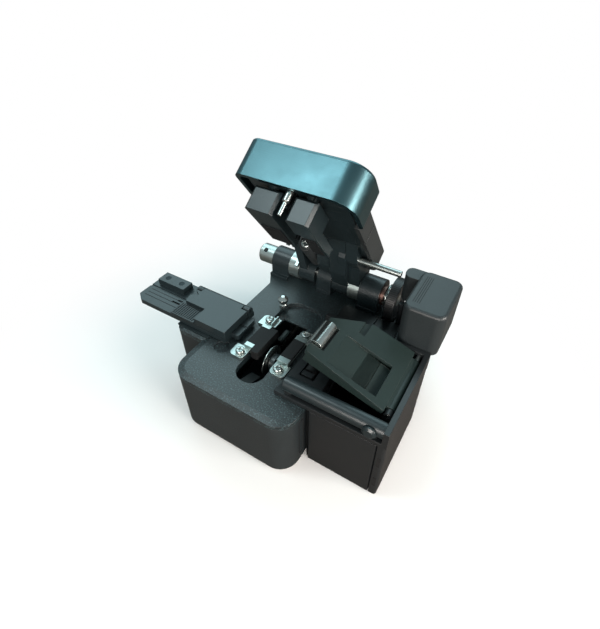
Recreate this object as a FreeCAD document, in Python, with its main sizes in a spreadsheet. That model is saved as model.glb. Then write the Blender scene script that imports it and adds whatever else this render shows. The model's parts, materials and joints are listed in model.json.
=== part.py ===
import FreeCAD, Part
import math
import os
import re
import Sketcher
from FreeCAD import Placement, Rotation, Vector

# Bench-top optical fibre cleaver with a side scrap collector, in millimetres.
# X runs along the fibre (towards the collector), Y towards the hinge, Z up.
# The origin lies on the resting plane, straight below the point where the fibre is cleaved.
# Pieces of the arm and of the collector lid are drawn closed and then turned to the open rest pose.

doc = FreeCAD.newDocument("FibreCleaver")
sheet = doc.addObject("Spreadsheet::Sheet", "Sizes")

sizes = {
    # base: rubber mat, bottom plate, housing and deck
    "matThick": 0.8, "matInset": 4.0, "plateThick": 2.0, "plateInset": 2.0,
    "deckTop": 36.0, "deckThick": 3.0, "rimWidth": 3.0, "rimDrop": 0.7,
    "noseLeft": -30.6, "noseRight": 29.2, "noseFront": -35.2, "noseCorner": 9.2,
    "sideLeft": -47.3, "sideFront": -14.0, "sideBack": 8.5, "sideCorner": 4.2,
    "neckLeft": -27.6, "neckEnd": 37.0, "backLeft": -31.4, "backStart": 43.0, "backEnd": 59.5,
    "backCorner": 5.0,
    "wellHalf": 13.5, "wellFront": -27.0, "wellBack": 34.0, "wellFloor": 9.0,
    "slotHalf": 6.7, "slotFront": -23.5, "slotCorner": 6.3, "slotBack": 31.0, "slotWide": 10.5,
    "slotStep": 14.5, "slotEnd": 19.0,
    "dishDeep": 2.0, "dishCorner": 7.0,
    "notchRadius": 3.7, "notchX": -19.7,
    # fibre clamps on the deck
    "fibreTop": 39.5, "footThick": 1.2, "footIn": 6.9, "footOut": 14.3, "footEnd": 14.6, "footCorner": 2.0,
    "waistX": 10.1,
    "screwX": 10.0, "screwY": 11.6, "screwHead": 2.15, "screwHigh": 1.4, "screwShank": 0.9, "shankLong": 3.0,
    "washerOut": 2.6, "washerThick": 0.4, "boreGap": 0.1,
    "riserOut": 9.9, "riserIn": 5.6, "barIn": 1.6, "barFront": -10.4, "barBack": 6.2, "barDeep": 4.4,
    "padIn": 7.5, "padOut": 13.0, "padHalf": 5.8, "leftPadHalf": 6.4, "padDeep": 1.0, "padProud": 0.1,
    "clampHalf": 8.6,
    "clipFront": 8.6, "clipBack": 14.4, "clipIn": 5.0, "clipOut": 7.2, "clipThick": 0.5, "clipHigh": 2.2,
    "studX": -10.9, "studY": 24.6, "studFoot": 2.0, "studNeck": 1.5, "studHead": 2.5, "studHigh": 6.8,
    # hinge
    "axisY": 51.0, "axisZ": 43.3, "openAngle": 53.5, "shaftRadius": 3.0, "runGap": 0.05, "sideGap": 0.3,
    "lugLeftOut": -31.0, "lugLeftIn": -20.6, "lugRadius": 6.6, "lugFoot": 2.0,
    "lugRightIn": 20.4, "lugRightOut": 31.0, "lugRightRadius": 7.9,
    "knobEnd": -41.0, "knobRadius": 5.2, "knobEdge": 0.8, "grubRadius": 1.3, "grubX": -37.0,
    "collarRadius": 7.0, "collarLeftIn": -14.4, "collarRightIn": 14.3, "tabHigh": 3.2, "tabWide": 1.6,
    "barrelRadius": 6.3, "barrelLeftIn": -5.0, "barrelRightIn": 5.2,
    "middleLeft": -3.3, "middleRight": 4.9,
    "bushLong": 1.4, "bushRadius": 5.0, "springRadius": 6.0, "springWire": 0.45, "springPitch": 1.05,
    "springTurns": 2.0, "springGap": 0.8,
    "springRoom": 2.4, "drumWide": 4.4, "drumRadius": 11.0, "drumHub": 5.0, "drumRim": 9.0, "drumRecess": 1.0,
    "pocketGap": 0.8, "stayGap": 1.6, "stayWide": 2.6, "stayTop": 49.0, "stayDeep": 2.6,
    # blade carriage
    "railX": 8.5, "railRadius": 1.5, "railHigh": 15.0, "carriageFront": -19.5, "carriageBack": 8.5,
    "carriageHalf": 12.2, "carriageLow": 11.0, "carriageHigh": 19.0, "bladeX": 2.0, "bladeY": -5.0,
    "bladeRadius": 7.5, "bladeThick": 0.8, "bladeTop": 39.35, "bladeEdge": 0.3, "hubRadius": 2.6,
    "hubBore": 1.2,
    "forkGap": 0.4, "forkThick": 2.4, "forkRadius": 4.2,
    # arm, drawn closed
    "armFront": -24.9, "armLeft": -24.0, "armRight": 28.0, "capEnd": -6.0, "capLow": 51.0,
    "capHigh": 67.6, "capCornerLeft": 4.2, "capCornerRight": 9.5, "capWall": 2.0, "capEdge": 1.4,
    "slabLeft": -21.8, "slabRight": 26.0, "slabLow": 50.8, "slabHigh": 61.3, "slabEnd": 42.5, "slabWall": 2.0,
    "slabCorner": 5.0, "grooveY": 8.0, "grooveWide": 0.8, "grooveDeep": 0.5,
    "frameLow": 52.3, "frameHigh": 54.3, "frameFront": -21.5, "frameSide": 0.3, "webFront": 22.0,
    "webRightOut": 20.0, "cheekFront": -3.0, "cheekLow": 47.4, "webLeftOut": -13.8, "webLeftIn": -9.4,
    "webRear": 4.5,
    "blockFront": -21.7, "blockBack": 8.2, "blockLow": 40.3, "blockHigh": 50.4, "blockEdge": 1.2,
    "blockLeftOut": -14.3, "blockLeftIn": -1.9, "blockRightIn": 3.9, "blockRightOut": 13.8,
    "upperPadThick": 0.6, "upperPadInset": 1.4, "upperPadBuried": 1.0, "stemRadius": 2.4, "stemHigh": 57.0,
    "stemFront": -17.6, "stemBack": -11.2, "stepY": -7.6, "stepZ": 44.4,
    "anvilX": 1.0, "anvilHalf": 1.6, "anvilFront": -18.8, "anvilBack": 3.0, "anvilLow": 45.5,
    "anvilTip": 40.9,
    "anvilTipRadius": 0.9, "pinY": -21.0, "pinLow": 41.4, "pinHigh": 49.6, "pinRadius": 0.9, "pinCollar": 1.5,
    "cylinderX": -5.5, "cylinderRadius": 3.5, "cylinderFront": 23.0, "cylinderBack": 42.0, "cylinderZ": 47.2,
    "tripLeft": -7.6, "tripRight": -3.6, "tripFront": 9.0, "tripBack": 11.6, "tripLow": 40.0,
    "tripNotch": 1.6,
    "sideScrewY": -8.5, "sideScrewGap": 5.5, "sideScrewZ": 43.2, "sideScrewRadius": 1.7, "sideScrewHigh": 1.2,
    "rodRadius": 1.5, "rodEnd": 40.4, "rodY": 27.7, "rodZ": 49.2,
    # fibre holder
    "holderLeft": -76.0, "holderRight": -18.9, "holderFront": -11.0, "holderBack": 11.0,
    "tongueRight": -14.9, "tongueHalf": 6.5,
    "railTop": 36.9, "railFront": -12.4, "railBack": 7.0, "ridgeHalf": 4.0, "ridgeHigh": 1.2, "seatGap": 0.3,
    "holderLow": 37.2, "holderTop": 39.8, "blockEndLeft": -73.0, "blockEndRight": -56.0,
    "holderBlockFront": 2.6,
    "holderBlockBack": 9.2, "holderBlockTop": 43.0, "grooveHalf": 0.6,
    "lidLeft": -49.5, "lidRight": -18.6, "lidFront": -11.1, "lidTop": 44.0, "lidLow": 40.2, "tabLeft": -50.5,
    "tabRight": -36.5, "tabBack": -3.4, "tabTop": 43.0, "lidBack": 5.6,
    "holderPinY": 8.0, "holderPinZ": 42.0, "holderPinRadius": 0.9, "earThick": 3.2, "earRadius": 2.0,
    # scrap collector
    "caseLeft": 15.0, "wallGap": 0.3, "caseRight": 64.2, "caseFront": -22.0, "caseBack": 23.3,
    "caseWall": 2.2,
    "caseLow": 0.8, "rimTop": 45.5, "sillTop": 38.5, "floorLow": 36.3, "floorTop": 37.5, "panelRight": 60.9,
    "binGap": 0.35, "panelThick": 2.4, "binFloor": 3.4, "binTop": 33.0, "binWall": 1.6,
    "barRadius": 3.3, "barY": -18.4, "barZ": 42.2, "barLeft": 18.8, "bossRadius": 2.9, "bossLeftX": 20.6,
    "bossRightX": 56.7,
    "lidAngle": 18.0, "lidAxisX": 60.0, "lidAxisZ": 43.2, "lidPin": 1.0, "lidBarrel": 1.7, "coverTop": 44.9,
    "coverThick": 2.4, "coverLeft": 20.5, "coverFront": -13.3, "coverBack": 20.4, "coverBend": 35.5,
    "coverEndFront": -11.0, "coverEndBack": 10.0, "coverRear": 57.6,
    "recessLeft": 40.6, "recessRight": 52.5, "recessFront": -10.0, "recessBack": 7.0, "recessDeep": 1.4,
    "feedX": 22.6, "feedRadius": 3.4, "feedZ": 43.2, "feedFront": -6.2, "feedBack": 6.8, "feedGap": 0.3,
    "feedPin": 1.0, "lowerRadius": 2.9, "lowerZ": 36.5, "bearingThick": 2.4, "bearingTop": 38.4,
    # rear drive housing and its cover plates
    "driveLeft": 47.7, "driveRight": 66.0, "driveFront": 23.7, "driveBack": 52.0, "driveTop": 65.0,
    "driveLow": 43.6, "columnRight": 58.0, "columnFront": 28.0, "columnBack": 50.0,
    "driveCorner": 4.0, "lobeGap": 0.8, "lobeFront": 44.5, "lobeLow": 50.0, "lobeCorner": 3.0,
    "stepLeft": 16.0, "stepThick": 0.9, "stepLowBack": 41.6, "stepHighBack": 40.0, "stepRight": 45.0,
}
for row, (name, number) in enumerate(sizes.items(), 1):
    sheet.set("A%d" % row, name)
    sheet.set("B%d" % row, str(number))
    sheet.setAlias("B%d" % row, name)
doc.recompute()


def link(text):
    """Write a sum of products as an expression on the sheet's cells."""
    return re.sub(r"[A-Za-z_]\w*", lambda m: "Sizes." + m.group(0) if m.group(0) in sizes else m.group(0),
        text)


def value(text):
    """Work out a sum of products of sheet names and numbers."""
    total = 0.0
    for sign, term in re.findall(r"([+-]?)\s*([^+-]+)", text):
        product = 1.0
        for mark, factor in re.findall(r"([*/]?)\s*([\w.]+)", term):
            number = sizes[factor] if factor in sizes else float(factor)
            product = product / number if mark == "/" else product * number
        total += -product if sign == "-" else product
    return total


def pair(obj, prop, text):
    obj.setExpression(prop, link(text))


def drawOutline(sketch, corners, radii):
    """Draw a closed outline, anticlockwise, whose corners and rounding radii follow the sheet."""
    points = [Vector(value(x), value(y), 0) for x, y in corners]
    count = len(points)
    ends = []
    for i, point in enumerate(points):
        toLast = (points[i - 1] - point).normalize()
        toNext = (points[(i + 1) % count] - point).normalize()
        reach = value(radii[i]) / math.tan(toLast.getAngle(toNext) / 2) if i in radii else 0.0
        ends.append((point + toLast * reach, point + toNext * reach))
    sides = [Part.LineSegment(ends[i][1], ends[(i + 1) % count][0]) for i in range(count)]
    lines = sketch.addGeometry(sides, False)
    rules = []
    names = []

    def rule(text, *parts):
        rules.append(Sketcher.Constraint(*parts))
        names.append(text)

    for i, (x, y) in enumerate(corners):
        last, following = lines[i - 1], lines[i]
        spot, spotEnd = following, 1
        if i in radii:
            radius = value(radii[i])
            first, second = ends[i]
            middle = points[i] + (first + second - points[i] * 2).normalize() * math.hypot(
                radius, (first - points[i]).Length)
            left = (points[i] - first).cross(second - points[i]).z > 0
            begin, finish = (first, second) if left else (second, first)
            turn = [math.atan2(end.y - middle.y, end.x - middle.x) for end in (begin, finish)]
            circle = Part.Circle(middle, Vector(0, 0, 1), radius)
            arc = sketch.addGeometry(Part.ArcOfCircle(circle, turn[0], turn[1]), False)
            rule(None, "Tangent", last, 2, arc, 1 if left else 2)
            rule(None, "Tangent", following, 1, arc, 2 if left else 1)
            rule(radii[i], "Radius", arc, radius)
            spot = sketch.addGeometry(Part.Point(points[i]), True)
            rule(None, "PointOnObject", spot, 1, last)
            rule(None, "PointOnObject", spot, 1, following)
        else:
            rule(None, "Coincident", last, 2, following, 1)
        rule(x, "DistanceX", -1, 1, spot, spotEnd, points[i].x)
        rule(y, "DistanceY", -1, 1, spot, spotEnd, points[i].y)
    sketch.addConstraint(rules)
    for i, text in enumerate(names):
        if text:
            pair(sketch, "Constraints[%d]" % i, text)


def newSketch(body, plane, start):
    """Attach a sketch to one of the body's planes, moved along the plane's normal to start."""
    sketch = body.newObject("Sketcher::SketchObject", body.Name + "Sketch")
    home = [feature for feature in body.Origin.OriginFeatures if feature.Role == plane + "_Plane"][0]
    sketch.AttachmentSupport = [(home, "")]
    sketch.MapMode = "FlatFace"
    pair(sketch, "AttachmentOffset.Base.z", start)
    return sketch


def prism(label, plane, corners, span, radii={}):
    """A straight-sided piece: an outline on the XY, XZ or YZ plane, padded over the span."""
    body = doc.addObject("PartDesign::Body", label)
    low, high = span
    sketch = newSketch(body, plane, "-1 * (%s)" % high if plane == "XZ" else low)
    drawOutline(sketch, corners, radii)
    pad = body.newObject("PartDesign::Pad", label + "Pad")
    pad.Profile = sketch
    pair(pad, "Length", "(%s) - (%s)" % (high, low))
    return body


def slab(label, x, y, z, radii={}):
    """An upright box, its corners rounded in plan where radii says so."""
    corners = [(x[0], y[0]), (x[1], y[0]), (x[1], y[1]), (x[0], y[1])]
    return prism(label, "XY", corners, z, radii)


def turned(label, along, at, corners):
    """A round piece: (radius, distance) corners turned about an axis through at, along X, Y or Z."""
    body = doc.addObject("PartDesign::Body", label)
    sketch = newSketch(body, "XZ", "0")
    drawOutline(sketch, corners, {})
    ring = body.newObject("PartDesign::Revolution", label + "Ring")
    ring.Profile = sketch
    ring.ReferenceAxis = (sketch, ["V_Axis"])
    ring.Angle = 360
    lean = {"X": Rotation(Vector(0, 1, 0), 90), "Y": Rotation(Vector(-1, 0, 0), 90), "Z": Rotation()}[along]
    body.Placement = Placement(Vector(), lean)
    for name, text in zip("xyz", at):
        pair(body, "Placement.Base." + name, text)
    return body


def pin(label, along, at, radius, span):
    """A plain round pin."""
    return turned(label, along, at, [("0", span[0]), (radius, span[0]), (radius, span[1]), ("0", span[1])])


def tube(label, along, at, inner, outer, span):
    """A plain ring or sleeve."""
    return turned(label, along, at, [(inner, span[0]), (outer, span[0]), (outer, span[1]), (inner, span[1])])


def join(label, items):
    fused = doc.addObject("Part::MultiFuse", label)
    fused.Shapes = items
    return fused


def cut(label, base, tools):
    """Take the tools out of the base."""
    lesser = doc.addObject("Part::Cut", label)
    lesser.Base = base
    lesser.Tool = tools[0] if len(tools) == 1 else join(label + "Tools", tools)
    return lesser


def soften(body, kind, size, wanted):
    """Round or bevel the edges of the body's last feature that the test wants."""
    doc.recompute()
    feature = body.newObject("PartDesign::" + kind, body.Name + kind + "%d" % len(body.Group))
    last = body.Group[body.Group.index(feature) - 1]
    edges = ["Edge%d" % i for i, edge in enumerate(last.Shape.Edges, 1) if wanted(edge.BoundBox)]
    feature.Base = (last, edges)
    pair(feature, "Size" if kind == "Chamfer" else "Radius", size)
    return feature


finished = []


def done(label, obj, swing=None):
    """Name a finished piece; a swinging piece is turned from its closed to its rest place."""
    placed = any("Placement" in path for path, text in obj.ExpressionEngine)
    if swing and placed:
        group = doc.addObject("Part::Compound", obj.Name + "Group")
        group.Links = [obj]
        obj = group
    obj.Label = label
    if swing:
        swing(obj)
    finished.append(obj)
    return obj


def turnPlace(obj, axis, angle, across, up, sign):
    """Turn an object about an axis parallel to X or Y that crosses the sheet's point (across, up)."""
    obj.Placement = Placement(Vector(), Rotation(axis, 10))
    pair(obj, "Placement.Rotation.Angle", angle)
    first, second = "y" if axis.x else "x", "z"
    forward = "%s - (%s * cos(%s) + %s * %s * sin(%s))" % (across, across, angle, sign, up, angle)
    upward = "%s - (%s * cos(%s) - %s * %s * sin(%s))" % (up, up, angle, sign, across, angle)
    pair(obj, "Placement.Base." + first, forward)
    pair(obj, "Placement.Base." + second, upward)


def armOpen(obj):
    turnPlace(obj, Vector(-1, 0, 0), "openAngle", "axisY", "axisZ", "1")


def lidOpen(obj):
    turnPlace(obj, Vector(0, 1, 0), "lidAngle", "lidAxisX", "lidAxisZ", "1")


# places along the hinge shaft, each from its neighbour
bushOut = "lugRightOut + bushLong"
springStart = bushOut + " + springGap"
drumIn = springStart + " + springRoom"
drumOut = drumIn + " + drumWide"

# ---- base -------------------------------------------------------------------------------------

def footprint(inset):
    """The plan outline of the base: rounded nose, side shelf under the holder, wider back."""
    return [
        ("noseLeft + " + inset, "noseFront + " + inset), ("noseRight - " + inset, "noseFront + " + inset),
        ("noseRight - " + inset, "caseBack + sideGap + " + inset),
        ("driveLeft - sideGap - " + inset, "caseBack + sideGap + " + inset),
        ("driveLeft - sideGap - " + inset, "backEnd - " + inset),
        ("backLeft + " + inset, "backEnd - " + inset),
        ("backLeft + " + inset, "backStart"), ("neckLeft + " + inset, "neckEnd"),
        ("neckLeft + " + inset, "sideBack - " + inset), ("sideLeft + " + inset, "sideBack - " + inset),
        ("sideLeft + " + inset, "sideFront + " + inset), ("noseLeft + " + inset, "sideFront + " + inset)]


def cornersOf(inset):
    return {0: "noseCorner - " + inset, 1: "noseCorner - " + inset, 5: "backCorner - " + inset,
            9: "sideCorner - %s / 2" % inset, 10: "sideCorner - %s / 2" % inset}


done("base_mat", prism("Mat", "XY", footprint("matInset"), ("0", "matThick"), cornersOf("matInset")))
done("bottom_plate", prism("BottomPlate", "XY", footprint("plateInset"),
                           ("matThick", "matThick + plateThick"), cornersOf("plateInset")))
full = "0 * matInset"
housing = prism("Housing", "XY", footprint(full), ("matThick + plateThick", "deckTop - deckThick"),
    cornersOf(full))
well = slab("Well", ("-1 * wellHalf", "wellHalf"), ("wellFront", "wellBack"), ("wellFloor", "deckTop"))
feedPocket = slab("FeedPocket", ("feedX - lowerRadius - 0.6", "feedX + lowerRadius + 0.6"),
                  ("feedFront - bearingThick - 0.6", "feedBack + bearingThick + 0.6"),
                  ("lowerZ - lowerRadius - 0.5", "floorTop + 0.1"))
drumPocket = slab("DrumPocket", (drumIn + " - pocketGap", drumOut + " + pocketGap"),
                  ("axisY - drumRadius + 1", "axisY + drumRadius - 1"),
                  ("axisZ - drumRadius - pocketGap", "deckTop + 1"))


shanks = [pin("ScrewBore%d" % i, "Z", (x, y, "deckTop"), "screwShank + boreGap", ("-1 * shankLong", "3"))
          for i, (x, y) in enumerate([("screwX", "screwY"), ("screwX", "-1 * screwY"),
                                      ("-1 * screwX", "screwY"), ("-1 * screwX", "-1 * screwY")])]
cleared = join("Cleared", [feedPocket, drumPocket])
done("base_housing", cut("HousingCut", housing, [well, cleared]))
deck = prism("Deck", "XY", footprint(full), ("deckTop - deckThick", "deckTop"), cornersOf(full))
slot = slab("Slot", ("-1 * slotHalf", "slotHalf"), ("slotFront", "slotEnd"),
            ("deckTop - deckThick - 1", "deckTop + 1"), {0: "slotCorner", 1: "slotCorner"})
dish = slab("Dish", ("-1 * slotWide", "slotWide"), ("slotStep", "slotBack"),
    ("deckTop - dishDeep", "deckTop + 1"),
            {0: "2", 1: "2", 2: "dishCorner", 3: "dishCorner"})
rim = soften(deck, "Chamfer", "rimDrop", lambda box: box.ZMin > value("deckTop") - 0.01
             and (box.YMax < value("sideBack") + 1 or box.YMin < value("noseFront + noseCorner") + 1))
rim.ChamferType = "Two distances"
pair(rim, "Size2", "rimWidth")
notch = pin("DeckNotch", "Z", ("notchX", "sideFront + 1.6", "deckTop"), "notchRadius", ("-0.8", "2"))
done("top_plate", cut("DeckCut", deck, [slot, dish, join("DeckHoles", shanks + [notch, cleared])]))

# ---- fibre clamps on the deck -----------------------------------------------------------------


def clampFoot(label, side):
    """The bored foot plate of one clamp, left (-1) or right (1) of the slot."""
    near, far = side + "footIn", side + "footOut"
    x = (near, far) if side == "" else (far, near)
    plate = slab(label, x, ("-1 * footEnd", "footEnd"), ("deckTop", "deckTop + footThick"),
                 {i: "footCorner" for i in range(4)})
    edge, beyond = (side + "waistX", side + "footOut - 1" if side else "footOut + 1")
    waistAcross = (edge, beyond) if side == "" else (beyond, edge)
    waist = slab(label + "Waist", waistAcross, ("0.8 - clampHalf", "clampHalf - 0.8"),
        ("deckTop - 1", "deckTop + 3"))
    return cut(label + "Cut", plate, [waist])


leftRiser = slab("LeftRiser", ("-1 * riserOut", "-1 * riserIn"), ("-1 * clampHalf", "barBack"),
                 ("deckTop + footThick", "fibreTop"))
leftBase = join("LeftClamp", [clampFoot("LeftFoot", "-1 * "), leftRiser])
leftSeat = slab("LeftSeat", ("-1 * riserOut - 1", "1 - riserIn"), ("-1 * leftPadHalf", "leftPadHalf - 1.5"),
                ("fibreTop - padDeep", "fibreTop + 1"))
done("left_clamp_base", cut("LeftClampCut", leftBase, [leftSeat] + shanks[2:]))
done("left_clamp_pad", slab("LeftPad", ("-1 * riserOut", "-1 * riserIn"),
    ("-1 * leftPadHalf", "leftPadHalf - 1.5"),
                            ("fibreTop - padDeep", "fibreTop")))
done("left_clamp_bar", slab("LeftBar", ("-1 * riserIn", "-1 * barIn"), ("barFront", "barBack"),
                            ("fibreTop - barDeep", "fibreTop"), {0: "1", 1: "1"}))
rightRiser = slab("RightRiser", ("padIn", "padOut"), ("-1 * clampHalf", "clampHalf"),
                  ("deckTop + footThick", "fibreTop"))
padSeat = slab("PadSeat", ("padIn - 1", "padOut + 1"), ("-1 * padHalf", "padHalf"),
               ("fibreTop - padDeep", "fibreTop + 1"))
rightBase = join("RightClamp", [clampFoot("RightFoot", ""), rightRiser])
done("right_clamp_base", cut("RightClampCut", rightBase, [padSeat] + shanks[:2]))
done("right_clamp_pad", slab("RightPad", ("padIn", "padOut"), ("-1 * padHalf", "padHalf"),
                             ("fibreTop - padDeep", "fibreTop + padProud")))

screws = []
washers = []
for i, (x, y) in enumerate([("screwX", "screwY"), ("screwX", "-1 * screwY"),
                            ("-1 * screwX", "screwY"), ("-1 * screwX", "-1 * screwY")]):
    at = (x, y, "deckTop + footThick")
    washers.append(tube("Washer%d" % i, "Z", at, "screwShank + boreGap", "washerOut", ("0", "washerThick")))
    screws.append(turned("Screw%d" % i, "Z", at, [
        ("0", "footThick / 2 - shankLong"), ("screwShank", "footThick / 2 - shankLong"),
        ("screwShank", "washerThick"), ("screwHead", "washerThick"),
        ("screwHead", "washerThick + screwHigh * 0.6"), ("screwHead * 0.7", "washerThick + screwHigh"),
        ("0", "washerThick + screwHigh")]))
done("clamp_washers", join("Washers", washers))
done("clamp_screws", join("Screws", screws))

clipLow = "deckTop + footThick"
clip = [("-1 * clipOut", clipLow), ("-1 * clipIn", clipLow), ("-1 * clipIn", clipLow + " + clipThick"),
        ("clipThick - clipOut", clipLow + " + clipThick"), ("clipThick - clipOut", clipLow + " + clipHigh"),
        ("-1 * clipOut", clipLow + " + clipHigh")]
done("fibre_guide_clip", prism("Clip", "XZ", clip, ("clipFront", "clipBack")))
done("stop_stud", turned("Stud", "Z", ("studX", "studY", "deckTop"), [
    ("0", "0"), ("studFoot", "0"), ("studFoot", "studHigh * 0.28"), ("studNeck", "studHigh * 0.36"),
    ("studNeck", "studHigh * 0.5"), ("studHead", "studHigh * 0.6"), ("studHead", "studHigh * 0.78"),
    ("studHead * 0.35", "studHigh"), ("0", "studHigh")]))

# ---- hinge ------------------------------------------------------------------------------------

shaftBore = pin("ShaftBore", "X", ("0", "axisY", "axisZ"), "shaftRadius + runGap",
    ("knobEnd", drumOut + " + 3"))


def lug(label, radius, x, foot):
    """A bored hinge lug standing on the deck, half round on top."""
    block = slab(label + "Block", x, ("axisY - " + radius, "axisY + " + radius), ("deckTop", "axisZ"))
    head = pin(label + "Head", "X", ("0", "axisY", "axisZ"), radius, x)
    keep = slab(label + "Keep", ("%s - 1" % x[0], "%s + 1" % x[1]), ("axisY - 30", "axisY + 30"),
                ("axisZ - 40", "deckTop"))
    step = slab(label + "Foot", x, ("axisY - %s - %s" % (radius, foot), "axisY"),
        ("deckTop", "deckTop + lugFoot"))
    return cut(label, join(label + "Whole", [block, head, step]), [keep, shaftBore])


done("hinge_lug_left", lug("LugLeft", "lugRadius", ("lugLeftOut", "lugLeftIn"), "lugFoot"))
done("hinge_lug_right", lug("LugRight", "lugRightRadius", ("lugRightIn", "lugRightOut"), "0.5"))
done("hinge_lug_middle", lug("LugMiddle", "lugRadius", ("middleLeft", "middleRight"), "0.3"))

axle = ("0", "axisY", "axisZ")
shaft = pin("Shaft", "X", axle, "shaftRadius", ("knobEnd + 2.5", drumOut + " - 1"))
done("hinge_shaft", shaft)
grub = pin("Grub", "Y", ("grubX", "axisY", "axisZ"), "grubRadius", ("0.7 - knobRadius", "-1 * shaftRadius"))
grubSpace = pin("GrubSpace", "Y", ("grubX", "axisY", "axisZ"), "grubRadius",
                ("-1 * knobRadius - 1", "1 - shaftRadius"))
knob = turned("Knob", "X", axle, [
    ("0", "knobEnd"), ("knobRadius - knobEdge", "knobEnd"), ("knobRadius", "knobEnd + knobEdge"),
    ("knobRadius", "lugLeftOut - sideGap"), ("shaftRadius", "lugLeftOut - sideGap"),
    ("shaftRadius", "knobEnd + 2.5"), ("0", "knobEnd + 2.5")])
done("shaft_knob", cut("KnobCut", knob, [grubSpace]), armOpen)
done("knob_set_screw", grub, armOpen)

collar = tube("CollarLeft", "X", axle, "shaftRadius", "collarRadius", ("lugLeftIn + sideGap", "collarLeftIn"))
tab = slab("CollarTab", ("collarLeftIn - tabWide", "collarLeftIn"),
    ("axisY - collarRadius - 1.4", "axisY - 4"),
           ("axisZ - tabHigh", "axisZ + tabHigh"))
done("shaft_collar_left", join("CollarLeftWhole", [
    collar, cut("TabCut", tab, [pin("TabCore", "X", axle, "collarRadius - 1", ("lugLeftIn", "0"))])]),
    armOpen)
done("shaft_collar_right", tube("CollarRight", "X", axle, "shaftRadius", "collarRadius",
                                ("collarRightIn", "lugRightIn - sideGap")))
done("bearing_bush", tube("Bush", "X", axle, "shaftRadius + runGap", "bushRadius", ("lugRightOut", bushOut)))
done("drive_drum", turned("Drum", "X", axle, [
    ("shaftRadius", drumIn + " - 0.8"), ("drumHub", drumIn + " - 0.8"), ("drumHub", drumIn + " + drumRecess"),
    ("drumRim", drumIn + " + drumRecess"), ("drumRim", drumIn), ("drumRadius", drumIn),
    ("drumRadius", drumOut), ("drumRim", drumOut), ("drumRim", drumOut + " - drumRecess"),
    ("shaftRadius", drumOut + " - drumRecess")]))
spring = doc.addObject("PartDesign::Body", "Spring")
wire = newSketch(spring, "XZ", "0")
wire.addGeometry(Part.Circle(Vector(value("springRadius"), 0, 0), Vector(0, 0, 1), value("springWire")),
    False)
wire.addConstraint([Sketcher.Constraint("DistanceX", -1, 1, 0, 3, value("springRadius")),
                    Sketcher.Constraint("PointOnObject", 0, 3, -1),
                    Sketcher.Constraint("Radius", 0, value("springWire"))])
pair(wire, "Constraints[0]", "springRadius")
pair(wire, "Constraints[2]", "springWire")
coil = spring.newObject("PartDesign::AdditiveHelix", "Coil")
coil.Profile = wire
coil.ReferenceAxis = (wire, ["V_Axis"])
coil.Mode = "pitch-turns-angle"
pair(coil, "Pitch", "springPitch")
pair(coil, "Turns", "springTurns")
spring.Placement = Placement(Vector(), Rotation(Vector(0, 1, 0), 90))
for name, text in zip("xyz", (springStart, "axisY", "axisZ")):
    pair(spring, "Placement.Base." + name, text)
done("torsion_spring", spring)

# ---- blade carriage in the well ---------------------------------------------------------------

rails = []
for side in ("-1 * ", ""):
    at = (side + "railX", "0", "railHigh")
    rails.append(pin("Rail" + str(len(rails)), "Y", at, "railRadius", ("wellFront", "wellBack")))
done("guide_rails", join("Rails", rails))
carriage = slab("Carriage", ("-1 * carriageHalf", "carriageHalf"), ("carriageFront", "carriageBack"),
                ("carriageLow", "carriageHigh"))
bladeAt = ("bladeX", "bladeY", "bladeTop - bladeRadius")
cheekBlock = slab("Cheek", ("bladeX + bladeThick / 2 + forkGap",
    "bladeX + bladeThick / 2 + forkGap + forkThick"),
                  ("bladeY - forkRadius", "bladeY + forkRadius"), ("carriageHigh", "bladeTop - bladeRadius"))
cheekHead = pin("CheekHead", "X", bladeAt, "forkRadius",
                ("bladeThick / 2 + forkGap", "bladeThick / 2 + forkGap + forkThick"))
hubSpace = pin("HubSpace", "X", bladeAt, "hubBore", ("-6", "6"))
railSpace = [pin("RailSpace%d" % i, "Y", (side + "railX", "0", "railHigh"), "railRadius + runGap",
                 ("wellFront", "wellBack")) for i, side in enumerate(("-1 * ", ""))]
done("blade_carriage", cut("CarriageCut", join("CarriageWhole", [carriage, cheekBlock, cheekHead]),
                           [hubSpace] + railSpace))
done("blade_wheel", turned("Blade", "X", bladeAt, [
    ("hubBore + runGap", "-1 * bladeThick / 2"), ("bladeRadius - 1", "-1 * bladeThick / 2"),
    ("bladeRadius", "0 - bladeEdge / 2"), ("bladeRadius", "bladeEdge / 2"),
    ("bladeRadius - 1", "bladeThick / 2"), ("hubBore + runGap", "bladeThick / 2")]))
done("blade_hub_screw", turned("HubScrew", "X", bladeAt, [
    ("0", "-1 * bladeThick / 2 - 1.6"), ("hubRadius", "-1 * bladeThick / 2 - 1.6"),
    ("hubRadius", "-1 * bladeThick / 2 - forkGap"), ("hubBore", "-1 * bladeThick / 2 - forkGap"),
    ("hubBore", "bladeThick / 2 + forkGap + forkThick"), ("0", "bladeThick / 2 + forkGap + forkThick")]))

# ---- scrap collector --------------------------------------------------------------------------

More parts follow.
